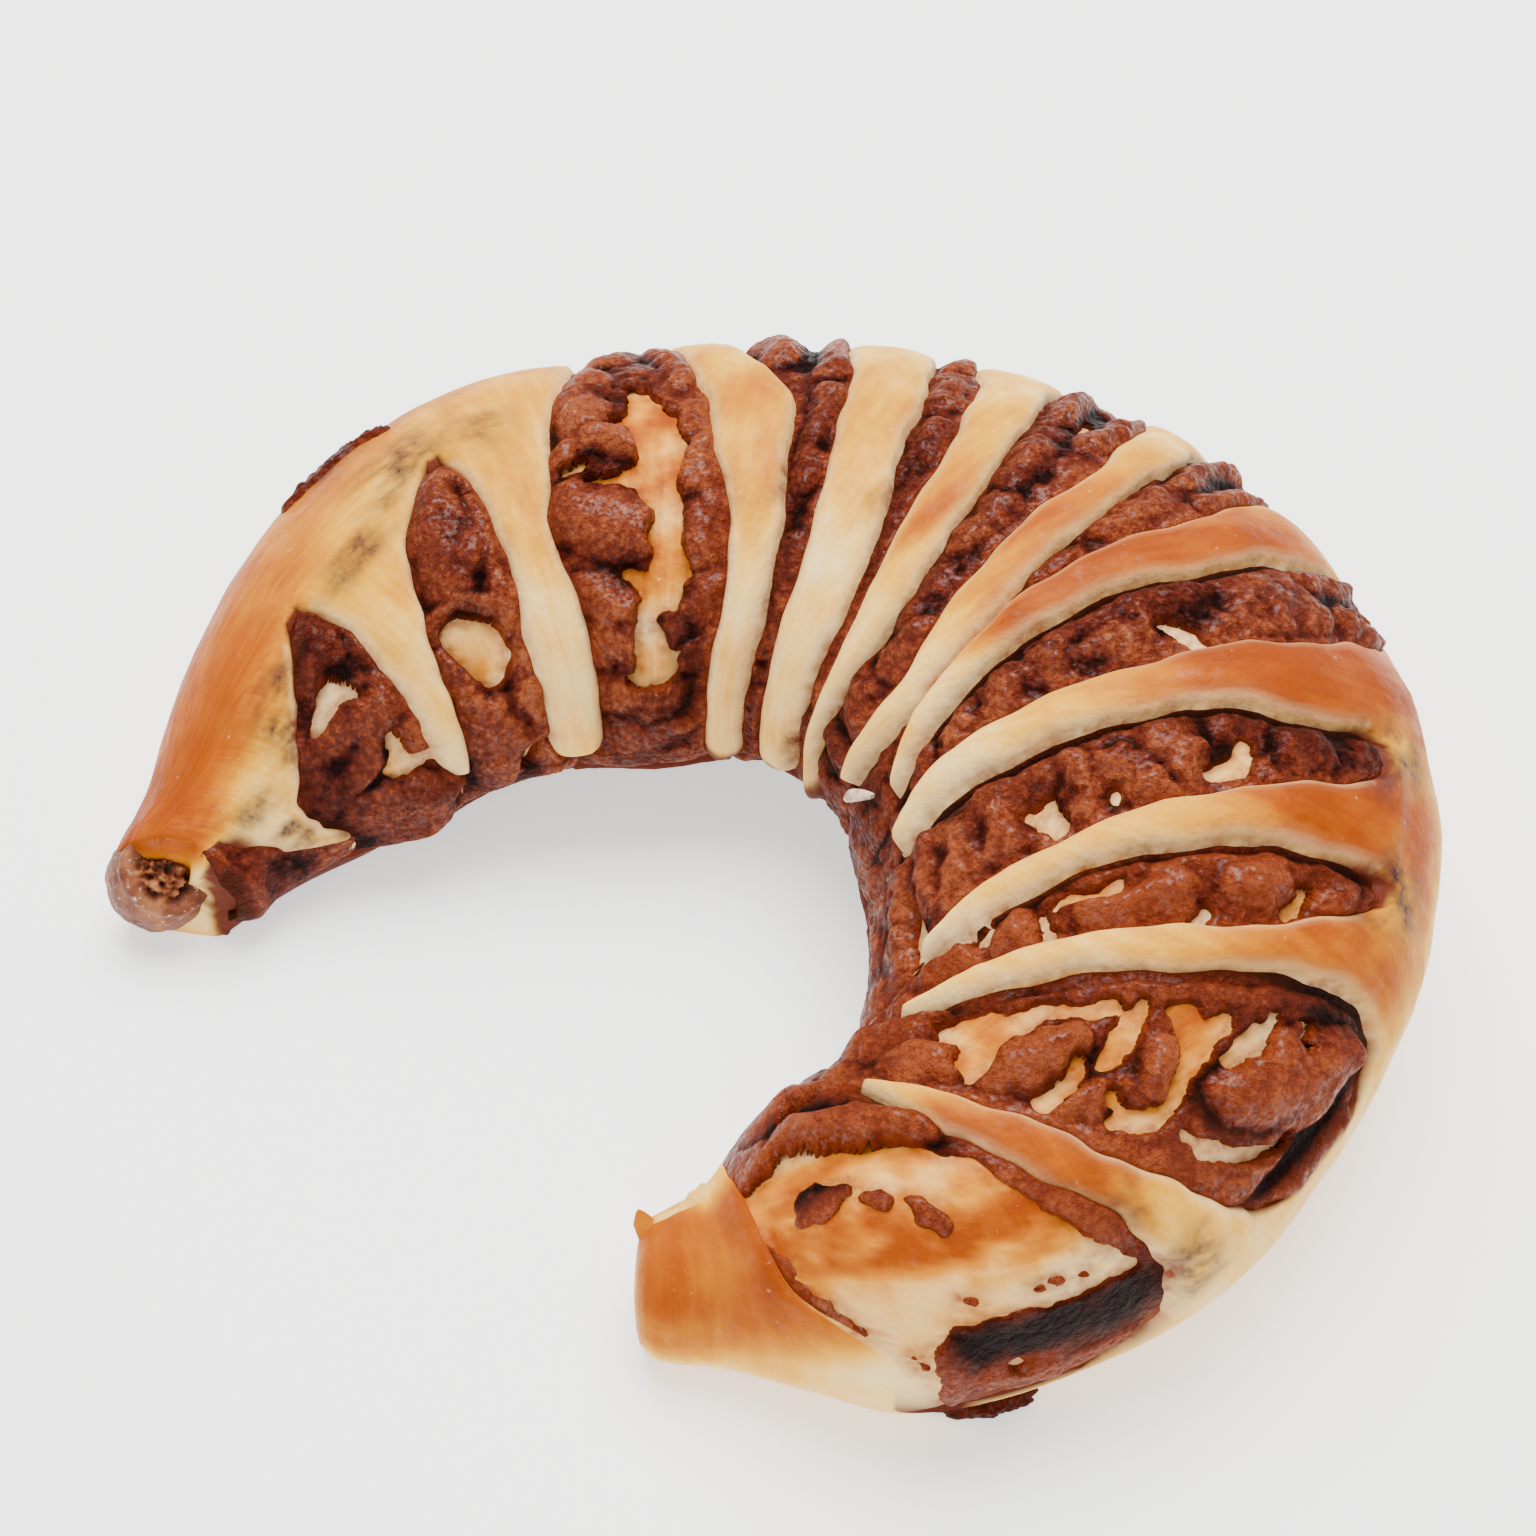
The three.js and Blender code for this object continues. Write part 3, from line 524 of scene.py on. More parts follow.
# Dough wholly covered with paste, on the right of the rolled middle at the left end.
paste_coat_and_shade = ease(172, 175, ring) * ease(118, 130, roll) * (1 - ease(235, 260, roll))
paste_coat_and_shade = paste_coat_and_shade * ease(-64.8, -62.8, points[..., 0] + 0.5 * fractal(smooth, 2, 2, 80))
# The foot of the inner wall is dark brown like paste: partly paste smeared there, partly painted shade where
# the wall tucks in over the plate. The inner turn is as dark near the top of each window.
ragged_roll = roll + 5 * fractal(smooth, 5, 2, 84)
inner_foot = ease(184, 191, ragged_roll) * (1 - ease(255, 275, roll)) * ease(-40, -20, ring)
paste_coat_and_shade = np.maximum(paste_coat_and_shade, 0.85 * inner_foot * ease(176.5, 174.5, ring))
for k in range(len(OPENS)):
    lines = np.nonzero(window[:, 0] == k)[0]
    past = np.maximum(roll[lines] - OPENS[k], 0) * roll_degree(ring[lines])
    paste_coat_and_shade[lines] = np.maximum(paste_coat_and_shade[lines], 0.9 * ease(0, 0.3, floor[lines]) * np.exp(-(past / 5) ** 2))
add_attribute(dough, "bake", np.clip(bake, 0, 1).T)
add_attribute(dough, "smudge_and_shade", (1 - (1 - np.clip(smudge_and_shade, 0, 1)) ** 2).T)
add_attribute(dough, "film", (1 - (1 - np.clip(film, 0, 1)) ** 1.6).T)
add_attribute(dough, "paste_coat_and_shade", (1 - (1 - np.clip(paste_coat_and_shade, 0, 1)) ** 4).T)
add_attribute(dough, "inner", np.clip(floor, 0, 1).T)
add_attribute(dough, "edge", np.exp(-(slit / 0.8) ** 2).T)
add_attribute(dough, "fibres", fibres.transpose(1, 0, 2) * MM, "FLOAT_VECTOR")

bpy.ops.object.mode_set(mode="EDIT")
bpy.ops.mesh.select_all(action="SELECT")
bpy.ops.mesh.remove_doubles(threshold=1e-6)
bpy.ops.mesh.normals_make_consistent(inside=False)
bpy.ops.object.mode_set(mode="OBJECT")
bpy.ops.object.shade_smooth()


# A colour written as on a screen, as the linear values that a shader takes.
def srgb(code):
    values = [int(code[i:i + 2], 16) / 255 for i in (0, 2, 4)]
    return [v / 12.92 if v <= 0.04045 else ((v + 0.055) / 1.055) ** 2.4 for v in values] + [1.0]


# Uneven tone, shared by every finish: noise on Object coordinates, spread from nought to one.
mottle_group = bpy.data.node_groups.new("mottle", "ShaderNodeTree")
for name, value in (("Scale", 200), ("Detail", 4), ("Roughness", 0.55), ("Low", 0.3), ("High", 0.7)):
    socket = mottle_group.interface.new_socket(name, in_out="INPUT", socket_type="NodeSocketFloat")
    socket.default_value = value
mottle_group.interface.new_socket("Value", in_out="OUTPUT", socket_type="NodeSocketFloat")
group_nodes, tie = mottle_group.nodes, mottle_group.links
given, result = group_nodes.new("NodeGroupInput"), group_nodes.new("NodeGroupOutput")
where, speckle = group_nodes.new("ShaderNodeTexCoord"), group_nodes.new("ShaderNodeTexNoise")
spread = group_nodes.new("ShaderNodeMapRange")
tie.new(where.outputs["Object"], speckle.inputs["Vector"])
for name in ("Scale", "Detail", "Roughness"):
    tie.new(given.outputs[name], speckle.inputs[name])
tie.new(speckle.outputs["Fac"], spread.inputs["Value"])
tie.new(given.outputs["Low"], spread.inputs["From Min"])
tie.new(given.outputs["High"], spread.inputs["From Max"])
tie.new(spread.outputs["Result"], result.inputs["Value"])


# A material's nodes, added one by one and joined as they are made.
class Finish:
    def __init__(self, name):
        self.material = bpy.data.materials.new(name)
        self.material.use_nodes = True
        self.nodes, self.links = self.material.node_tree.nodes, self.material.node_tree.links
        self.shader = self.nodes["Principled BSDF"]

    def feed(self, socket, value):
        if isinstance(value, bpy.types.NodeSocket):
            self.links.new(value, socket)
        else:
            socket.default_value = value

    def set(self, **values):
        for name, value in values.items():
            self.feed(self.shader.inputs[name.replace("_", " ")], value)

    def mottle(self, **values):
        node = self.nodes.new("ShaderNodeGroup")
        node.node_tree = mottle_group
        for name, value in values.items():
            node.inputs[name.capitalize()].default_value = value
        return node.outputs["Value"]

    def attribute(self, name, output="Fac"):
        node = self.nodes.new("ShaderNodeAttribute")
        node.attribute_name = name
        return node.outputs[output]

    def math(self, operation, a, b):
        node = self.nodes.new("ShaderNodeMath")
        node.operation = operation
        self.feed(node.inputs[0], a)
        self.feed(node.inputs[1], b)
        return node.outputs[0]

    def scaled(self, value, factor, plus=0.0):
        node = self.nodes.new("ShaderNodeMath")
        node.operation = "MULTIPLY_ADD"
        for socket, part in zip(node.inputs, (value, factor, plus)):
            self.feed(socket, part)
        return node.outputs[0]

    def ramp(self, value, stops):
        node = self.nodes.new("ShaderNodeValToRGB")
        elements = node.color_ramp.elements
        while len(elements) < len(stops):
            elements.new(0.5)
        for element, (place, code) in zip(elements, stops):
            element.position = place
            element.color = srgb(code)
        self.links.new(value, node.inputs["Fac"])
        return node.outputs["Color"]

    # The mix node's colours are its inputs 6 and 7 and its output 2.
    def blend(self, factor, a, b):
        node = self.nodes.new("ShaderNodeMix")
        node.data_type = "RGBA"
        for slot, value in ((0, factor), (6, a), (7, b)):
            self.feed(node.inputs[slot], value)
        return node.outputs[2]

    def relief(self, height, distance, strength):
        node = self.nodes.new("ShaderNodeBump")
        node.inputs["Strength"].default_value = strength
        node.inputs["Distance"].default_value = distance
        self.links.new(height, node.inputs["Height"])
        self.set(Normal=node.outputs["Normal"])


# Crust: cream to brown as it is baked, fibrous, pale along the slits, with grey smudges, red film, and
# painted shade and glints.
crust = Finish("crust")
fine = crust.mottle(scale=1100, detail=5)
blotch = crust.mottle(scale=170, detail=5)
thread = crust.nodes.new("ShaderNodeTexNoise")
thread.inputs["Scale"].default_value = 900
thread.inputs["Detail"].default_value = 4
crust.links.new(crust.attribute("fibres", "Vector"), thread.inputs["Vector"])
uneven = crust.scaled(blotch, 0.12, crust.scaled(thread.outputs["Fac"], 0.3))
level = crust.math("ADD", crust.attribute("bake"), crust.math("SUBTRACT", uneven, 0.21))
tone = crust.ramp(level, [
    (0.0, "FAD68E"), (0.15, "FAC668"), (0.28, "F2B23E"), (0.42, "E09A18"), (0.55, "CE8008"), (0.68, "BC6A03"),
    (0.82, "A85003"), (1.0, "8E3A02"),
])
moist = crust.ramp(level, [
    (0.0, "F8D496"), (0.3, "F4B862"), (0.55, "DA8A1C"), (0.75, "BE6606"), (1.0, "943E02"),
])
tone = crust.blend(crust.attribute("inner"), tone, moist)
tone = crust.blend(crust.scaled(crust.attribute("edge"), 0.6), tone, srgb("F8D6A2"))
# Pale flecks: sugar specks, and painted glints.
fleck = crust.mottle(scale=900, detail=2, low=0.72, high=0.8)
tone = crust.blend(crust.scaled(fleck, 0.3), tone, srgb("FFE6BE"))
# Grey where paste shows through the dough, and painted shade low on some strips.
seen = crust.math("MULTIPLY", crust.attribute("smudge_and_shade"), crust.scaled(fine, 0.4, 0.68))
tone = crust.blend(seen, tone, srgb("3A222A"))
smear = crust.math("MULTIPLY", crust.attribute("film"), crust.scaled(fine, 0.45, 0.4))
tone = crust.blend(smear, tone, srgb("8A2C0A"))
# Dark paste colour: paste at the left end, and partly painted shade on the inner foot and window tops.
tone = crust.blend(crust.attribute("paste_coat_and_shade"), tone, srgb("5C2413"))
crust.set(Base_Color=tone, Roughness=crust.scaled(blotch, 0.16, 0.38))
shine = crust.mottle(scale=650, detail=3, low=0.52, high=0.74)
shine = crust.math("MULTIPLY", shine, crust.scaled(crust.attribute("bake"), 0.28))
crust.set(Specular_IOR_Level=0.06, Coat_Weight=shine, Coat_Roughness=0.2)
crust.relief(crust.scaled(thread.outputs["Fac"], 1.5, fine), 0.0003, 0.3)
dough.data.materials.append(crust.material)
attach(dough, "root")
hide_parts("dough")

# Bean paste
# Red beans boiled, mashed and cooked with sugar: a moist, grainy, dark red-brown paste. It swells out
# between the strips in lumps, and is missing in places, so that the inner turn of dough shows.
# For each window: how far the paste swells above its edges, how grainy it is, and how deep the gap
# is that it leaves along the strip on its left.
SWELL = [0.4, 0.3, 0.4, 0.3, 0.2, 0.2, 0.4, 0.4, 0.6, 0.6, 0.5, 0.3, 0.3]
GRAINY = [0.6, 0.4, 0.5, 0.55, 0.6, 0.7, 0.8, 0.8, 1.0, 0.9, 0.8, 0.5, 0.45]
GAP = [0.0, 0.6, 0.4, 0.5, 0.5, 0.4, 0.5, 0.6, 1.6, 2.0, 1.6, 2.0, 1.0]
# Lumps in each window: how high each stands, and the stroke that it follows.
LUMPS = {
    0: [(1.2, [(174, 150, 1.5), (175, 170, 2.5), (174, 190, 2.5)])],
    1: [
        (1.7, [(149, 88, 2), (151, 95, 3), (154, 100, 2.4)]),
        (0.8, [(161, 112, 1.2), (163, 125, 1.8), (164, 140, 1.8), (164, 155, 1.8)]),
        (2.2, [(158.5, 124, 2.2), (155, 127, 3.4), (153, 131, 2.4)]),
        (1.6, [(157, 132, 2.6), (159.5, 140, 2), (160.5, 147, 1.5)]),
        (0.7, [(150, 115, 1), (149.5, 122, 1.4), (151, 136, 1.2), (152, 146, 1.3), (150.8, 152, 1)]),
        (2.4, [(159, 168, 3.5), (156, 176, 3.8), (156, 188, 3)]),
        (1.0, [(150, 172, 2), (147, 176, 1.5)]),
    ],
    2: [
        (1.9, [(124, 88, 3), (127, 98, 4), (128, 110, 4.2), (130, 116, 3)]),
        (1.0, [(120.5, 100, 1.4), (121, 112, 1.6), (124, 125, 1.6), (126, 134, 1.4)]),
        (1.5, [(136, 122, 1.2), (131, 121, 1.4), (127, 126, 1.4)]),
        (1.1, [(139.5, 130, 1.1), (139.5, 142, 1.4), (138, 152, 1.6)]),
        (1.7, [(137, 160, 3.4), (134, 170, 3.6), (137, 178, 3)]),
        (1.2, [(127, 158, 2.6), (127, 170, 2.4)]),
        (1.1, [(126, 180, 1.8), (124, 186, 1.4)]),
    ],
    3: [
        (1.7, [(99, 65, 3), (102, 76, 4), (101, 86, 3.6)]),
        (2.0, [(100, 92, 2), (95, 95, 2.4), (94, 97, 1.6)]),
        (1.2, [(106, 95, 1.4), (104, 92, 1.6)]),
        (2.0, [(106, 112, 4), (101, 115, 4.4), (96, 118, 4.2), (93, 122, 2)]),
        (1.3, [(107, 134, 2.4), (102, 137, 3.2), (98, 139, 2)]),
        (1.0, [(105, 148, 3), (99, 148, 2.8), (96, 151, 1.8)]),
        (0.8, [(107, 164, 2.6), (97, 165, 2.8), (88, 166, 2.4), (84, 165, 1.8)]),
        (0.8, [(104, 178, 3), (94, 178, 2.8), (82, 178, 2)]),
        (1.3, [(91, 45, 3), (89, 60, 2.4), (88, 72, 1.6)]),
        (1.0, [(84.5, 100, 2.4), (84, 108, 2.4)]),
        (0.9, [(82, 117, 2.4), (81.5, 126, 2.6)]),
        (0.9, [(81, 141, 1.8), (77, 137, 1.6)]),
        (0.8, [(81, 156, 2.4), (77, 152, 1.8)]),
        (1.3, [(96, 28, 4), (96, 50, 3.6)]),
    ],
    4: [
        (2.2, [(79.5, 36, 3.4), (79, 50, 3), (77, 62, 2)]),
        (2.0, [(73.8, 34, 2), (73, 52, 2), (71, 70, 2)]),
        (1.0, [(70, 80, 1.8), (68.5, 95, 1.8), (66.5, 110, 1.5)]),
        (0.7, [(64.5, 125, 1.2), (62.5, 140, 1.4), (61, 155, 1.2)]),
        (1.0, [(61, 170, 2), (62, 185, 2.2), (64, 195, 2)]),
    ],
    5: [
        (1.8, [(63, 25, 2.2), (61.5, 40, 2.2), (60.5, 52, 1.8)]),
        (1.2, [(58.5, 65, 1.8), (57.5, 75, 2.2)]),
        (1.0, [(55, 88, 2), (53, 95, 2)]),
        (0.4, [(50, 108, 1.2), (48, 120, 1.1)]),
    ],
    6: [
        (1.8, [(50, 40, 2.4), (48.5, 52, 2.4), (46, 64, 2)]),
        (1.8, [(42.5, 46, 2), (41, 60, 2.4), (40, 72, 2.2)]),
        (1.4, [(43, 82, 2.4), (41.5, 92, 2.4)]),
        (1.3, [(38.5, 100, 2.4), (37, 112, 2.2)]),
        (1.0, [(34, 122, 2), (33, 132, 2)]),
        (1.5, [(29, 132, 2.2), (27, 140, 2.6)]),
        (1.3, [(30, 150, 3), (26, 155, 3)]),
        (1.2, [(28, 166, 3), (22, 168, 2.6)]),
        (1.3, [(29, 178, 3), (22, 178, 2)]),
    ],
    7: [
        (1.8, [(34.8, 36, 2), (33.5, 52, 2.2), (31.5, 62, 1.8)]),
        (1.6, [(30, 34, 1.8), (29, 50, 2), (28.5, 62, 1.8)]),
        (1.2, [(29.5, 75, 2.4), (27.5, 88, 2.2)]),
        (0.8, [(26, 98, 1.6), (24, 106, 1.1)]),
    ],
    8: [
        (1.6, [(19.5, 34, 2.4), (18, 50, 2.4)]),
        (1.6, [(14.5, 26, 2.2), (14, 42, 2.6)]),
        (1.5, [(15, 56, 4), (14, 68, 4)]),
        (1.0, [(17, 82, 1.8), (14, 92, 2.2)]),
        (1.5, [(11, 95, 2.2), (10, 103, 2)]),
        (1.3, [(13, 108, 2), (9, 112, 2.4)]),
        (1.3, [(9, 120, 2.4), (5, 122, 2)]),
        (1.4, [(7, 132, 2.4), (2, 134, 2.2)]),
        (1.2, [(5, 142, 2), (0, 144, 2)]),
        (0.9, [(8, 160, 3), (0, 158, 3)]),
    ],
    9: [
        (1.3, [(-2, 60, 2.4), (-3, 68, 2)]),
        (1.7, [(-6, 87, 2.6), (-4, 93, 2.2)]),
        (1.5, [(-11, 91, 2), (-8, 100, 2.2)]),
        (1.3, [(-7, 108, 2), (-10, 104, 1.8)]),
        (1.5, [(-12, 124, 2.6), (-18, 122, 3)]),
        (1.6, [(-18, 133, 3), (-25, 131, 3)]),
        (1.4, [(-18, 143, 2.6), (-26, 141, 2.6)]),
        (1.1, [(-22, 151, 3), (-33, 152, 2.6)]),
    ],
    10: [
        (1.1, [(-14, 47, 2), (-15, 52, 1.6)]),
        (1.6, [(-17, 64, 2.4), (-18, 70, 2)]),
        (1.8, [(-21, 82, 2.4), (-24, 90, 2.4), (-26, 96, 2)]),
        (1.5, [(-31, 110, 2.2), (-33, 115, 1.8)]),
        (1.5, [(-36, 124, 2.2), (-38, 130, 2.2)]),
    ],
    11: [
        (2.4, [(-24, 26, 3), (-28, 32, 5), (-31, 40, 4.6), (-34, 46, 3)]),
        (0.9, [(-26, 4, 2.4), (-32, 8, 2.4)]),
        (1.9, [(-36, 64, 2.6), (-38, 62, 2)]),
        (1.6, [(-43, 71, 1.8), (-45, 73, 1.4)]),
        (2.0, [(-40, 84, 2), (-44, 88, 3), (-47, 92, 2.2)]),
        (1.6, [(-50, 108, 2.4), (-52, 116, 3)]),
        (2.2, [(-46, 123, 3), (-50, 130, 4), (-52, 138, 3)]),
        (0.6, [(-27, 60, 1.2), (-30, 72, 1.2), (-33, 84, 1.2)]),
    ],
    12: [
        (3.2, [(-57, 91, 2.2), (-62, 98, 3.4), (-68, 103, 3.6), (-73.5, 99, 3)]),
        (2.0, [(-74, 108, 2.4), (-75.5, 116, 2)]),
        (1.7, [(-60, 104, 2.4), (-62, 112, 3)]),
        (1.8, [(-62, 118, 3), (-66, 132, 3.4), (-72, 128, 3)]),
        (1.0, [(-44, 24, 1.4), (-46, 36, 1.4), (-48, 48, 1.4), (-51, 62, 1.4), (-53, 72, 1.4)]),
        (0.5, [(-42, -14, 3), (-50, -20, 4), (-58, -16, 3.4), (-62, -8, 2.4)]),
    ],
}
# Hollows in the paste, and places where its colour is darker: partly darker paste, partly painted shade in
# pockets and along the strips.
HOLLOWS = [
    (45.4, 48, 1.1, 12, 2.0), (-59.5, 19, 3.5, 11, 2.6), (-54.5, 14, 5, 12, 2.8), (-49.5, 9, 5, 12, 2.8),
    (-45, 8, 3, 10, 2.2), (-51, -16, 14, 10, 1.2), (-28, 14, 8, 4, 1.8), (32, 44, 0.8, 9, 1.4),
]
DARK_PASTE_AND_SHADE = [
    (151, 93, 7, 14, 0.45), (164, 142, 4, 30, 0.45), (157, 135, 12, 60, 0.14), (128, 104, 6, 16, 0.12),
    (66, 115, 4, 36, 0.25), (52, 118, 8, 36, 0.35), (80, 160, 4, 16, 0.45), (16, 95, 4, 22, 0.25),
    (0, 60, 4, 26, 0.4), (-12, 48, 3, 9, 0.45), (-60, 19, 3.5, 12, 0.8), (-54.5, 15, 5, 12, 0.9),
    (-49, 9, 5, 12, 0.9), (-44.5, 8, 3, 10, 0.8), (-22, 34, 3, 26, 0.5), (-29, 14, 9, 5, 0.5),
    (26, 172, 10, 10, 0.3), (6, 162, 12, 8, 0.25), (173, 168, 4, 30, 0.45),
]
# Thin red-brown places, and how red and light the paste of each window is.
THIN = [
    (-50, -15, 13, 9, 0.9), (-58.5, -3, 5, 6, 0.9), (-43.5, -10, 4, 8, 0.7), (-65.5, 14, 2, 6, 0.9),
    (-53.5, 31.5, 4, 4, 0.9), (-61, 35.5, 2, 3, 0.9), (-71, 33, 4, 9, 0.4),
]
REDDER = [0, 0, 0.06, 0.14, 0, 0, 0.03, 0.08, 0.06, 0.18, 0.46, 0.38, 0.44]
# How much the paste of each window thins towards its bare places, and how ragged it is there.
THINNING = [0, 0.4, 0.3, 0, 0, 0, 0.6, 0.6, 0.75, 0.75, 0.75, 0.2, 0]
RAGGED = [0.6, 0.6, 0.2, 0.6, 0.6, 0.6, 0.6, 0.6, 0.6, 0.6, 0.6, 0.6, 0.5]
# A cell of the paste's mesh, how far it runs on under the strips, the least that lies on the inner
# turn, how far it sinks where it is missing, its lowest point, and the thickness of its crust.
CELL, UNDER, LEAST, SUNK, LOWEST, PASTE_CRUST = 0.31, 1.6, 0.7, 0.9, 0.15, 1.2


def lump_height(lumps, phi, theta):
    best = np.zeros(np.broadcast(phi, theta).shape)
    heights, strokes = zip(*lumps)
    for number, radius, distance in stroke_steps(strokes, phi, theta):
        radius = radius * 1.12
        depth = radius - distance
        swell = 0.5 * rounded(depth, radius) + 0.5 * ease(0, 1, depth / radius)
        best = np.maximum(best, heights[number] * swell)
    return best


# A mean over neighbours on a grid, for telling hollows from lumps.
def softened(values, reach):
    span = 2 * reach + 1
    for axis in (0, 1):
        widths = [(reach + 1, reach) if i == axis else (0, 0) for i in (0, 1)]
        total = np.cumsum(np.pad(values, widths, mode="edge"), axis)
        length = values.shape[axis]
        values = (total.take(range(span, span + length), axis) - total.take(range(length), axis)) / span
    return values


# The paste of window k: its lift off the smooth roll, where it is missing, how far inside the window
# each place lies, and its painted shade: darker in its hollows and along the gap under the strip on its left.
def paste_shape(k, phi, theta, base):
    left, right = window_edges(k, theta)
    degree = ring_degree(phi, theta)
    near_left, near_right = (left - phi) * degree, (phi - right) * degree
    ends = np.minimum(theta - OPENS[k], SHUTS[k] - theta) * roll_degree(phi)
    inside = np.minimum(np.minimum(near_left, near_right), ends)
    crown = SWELL[k] * ease(2.5, 9, (left - right) * degree) * ease(-0.5, 3.0, inside)
    drift = 0.9 * fractal(base, 4.5, 2, 21)
    sway = 0.9 * fractal(base, 4.5, 2, 27)
    lumps = lump_height(LUMPS[k], phi + drift / degree, theta + sway / roll_degree(phi))
    clots = 0.6 * fractal(base, 3.4, 4, 9) + 0.4 * (0.5 - fractal(base, 1.9, 3, 15, True))
    clots = GRAINY[k] * np.where(clots < 0, 0.5 * clots, clots)
    lobes = 0.7 * (fractal(base, 6.0, 2, 3, True) - 0.5)
    body = -0.8 + crown + (1.2 - 0.5 * GRAINY[k]) * lumps + lobes + clots - patches(HOLLOWS, phi, theta, 1.0)
    body = body - GAP[k] * np.exp(-(near_left / 1.3) ** 2)
    bottom = inner_turn(phi, theta)
    body = np.maximum(body, bottom + LEAST + 0.25 * (lobes + clots)) - 1.3 * ease(0.2, -1.2, inside)
    ragged = RAGGED[k] * fractal(base, 2.2, 3, 30)
    bare = inside_strokes(BARE.get(k, []), phi, theta) + ragged
    away = ease(-0.4, 0.4, bare)
    away = away * (1 - ease(-0.35, 0.35, inside_strokes(SPOTS.get(k, []), phi, theta) + ragged))
    # Painted shade: darker where the paste lies lower than its neighbours, in the darker places below, and
    # along the gap under the strip on its left.
    hollow_shade = 0.36 + 0.8 * np.maximum(softened(body, 12) - body, -0.25)
    hollow_shade = hollow_shade + 0.5 * np.maximum(softened(body, 3) - body, -0.15)
    # Darker places: partly darker paste, partly painted shade.
    hollow_shade = hollow_shade + patches(DARK_PASTE_AND_SHADE, phi, theta, 1.0) - 0.25 * REDDER[k]
    hollow_shade = hollow_shade + 0.42 * GAP[k] * np.exp(-np.maximum(near_left, 0) / 1.7)
    body = mix(body, np.minimum(body, bottom + LEAST), THINNING[k] * ease(-2.4, 0, bare))
    return thinner(phi) * mix(body, bottom - SUNK, away), away, inside, np.clip(hollow_shade, 0, 1.2)


# Paste: with painted shade in its hollows and cracks, redder where it is thin, and crumbly, with wet glints
# on what stands out.
bean_paste = Finish("bean_paste")
grains = bean_paste.nodes.new("ShaderNodeTexVoronoi")
grains.feature = "SMOOTH_F1"
grains.inputs["Scale"].default_value = 950
grains.inputs["Smoothness"].default_value = 0.4
coordinates = bean_paste.nodes.new("ShaderNodeTexCoord")
bean_paste.links.new(coordinates.outputs["Object"], grains.inputs["Vector"])
crumb = bean_paste.math("SUBTRACT", 1.0, grains.outputs["Distance"])
cloud = bean_paste.mottle(scale=110, detail=3)
clot = bean_paste.mottle(scale=420, detail=4, roughness=0.6)
grit = bean_paste.mottle(scale=2000, detail=4, roughness=0.65, low=0.34, high=0.66)
uneven = bean_paste.scaled(cloud, 0.3, bean_paste.scaled(grit, 0.26))
uneven = bean_paste.scaled(clot, 0.2, uneven)
# The crumbs are lighter in their middles and darker in the cracks between them: grain tone, with painted
# shade in the cracks.
uneven = bean_paste.scaled(bean_paste.math("SUBTRACT", crumb, 0.6), 0.36, uneven)
# The tone of the paste, darkened by its painted shade.
level_with_shade = bean_paste.scaled(bean_paste.attribute("hollow_shade"), -0.9, uneven)
tone = bean_paste.ramp(bean_paste.math("ADD", level_with_shade, 0.52), [
    (0.0, "180604"), (0.2, "3A0F08"), (0.42, "591E13"), (0.65, "77311D"), (0.95, "AC5831"),
])
tone = bean_paste.blend(bean_paste.attribute("thin"), tone, srgb("8A3410"))
bean_paste.set(Base_Color=tone, Roughness=bean_paste.scaled(clot, 0.22, 0.33))
glint = bean_paste.mottle(scale=1700, detail=3, low=0.44, high=0.74)
shown = bean_paste.scaled(bean_paste.attribute("hollow_shade"), -0.66, 0.62)
wet = bean_paste.math("MULTIPLY", glint, bean_paste.math("MAXIMUM", shown, 0.0))
bean_paste.set(Specular_IOR_Level=0.05, Coat_Weight=wet, Coat_Roughness=0.2)
bumps = bean_paste.scaled(crumb, 1.4, bean_paste.scaled(grit, 0.7, clot))
bean_paste.relief(bumps, 0.0007, 0.9)


# Makes a sheet of mesh a closed crust, so many millimetres thick.
def thicken(piece, thickness, offset):
    bpy.ops.object.modifier_add(type="SOLIDIFY")
    piece.modifiers["Solidify"].thickness = thickness * MM
    piece.modifiers["Solidify"].offset = offset
    bpy.ops.object.modifier_apply(modifier="Solidify")


# One patch of paste: a grid of points, without those sunk out of sight, thickened to a closed crust.
def lay_paste(name, phi, theta, lift, away, thin, hollow_shade):
    spots = on_roll(phi, theta, lift)
    spots[..., 2] = np.maximum(spots[..., 2], LOWEST)
    paste = add_grid(name, spots)
    add_attribute(paste, "thin", np.clip(thin, 0, 1))
    add_attribute(paste, "hollow_shade", hollow_shade)
    bpy.ops.object.mode_set(mode="EDIT")
    bpy.ops.mesh.select_all(action="DESELECT")
    bpy.ops.object.mode_set(mode="OBJECT")
    paste.data.vertices.foreach_set("select", (away > 0.98).ravel())
    bpy.ops.object.mode_set(mode="EDIT")
    bpy.ops.mesh.delete(type="VERT")
    bpy.ops.object.mode_set(mode="OBJECT")
    bpy.ops.object.shade_smooth()
    thicken(paste, PASTE_CRUST, -1.0)
    paste.data.materials.append(bean_paste.material)
    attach(paste, "root")
    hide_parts("bean_paste")


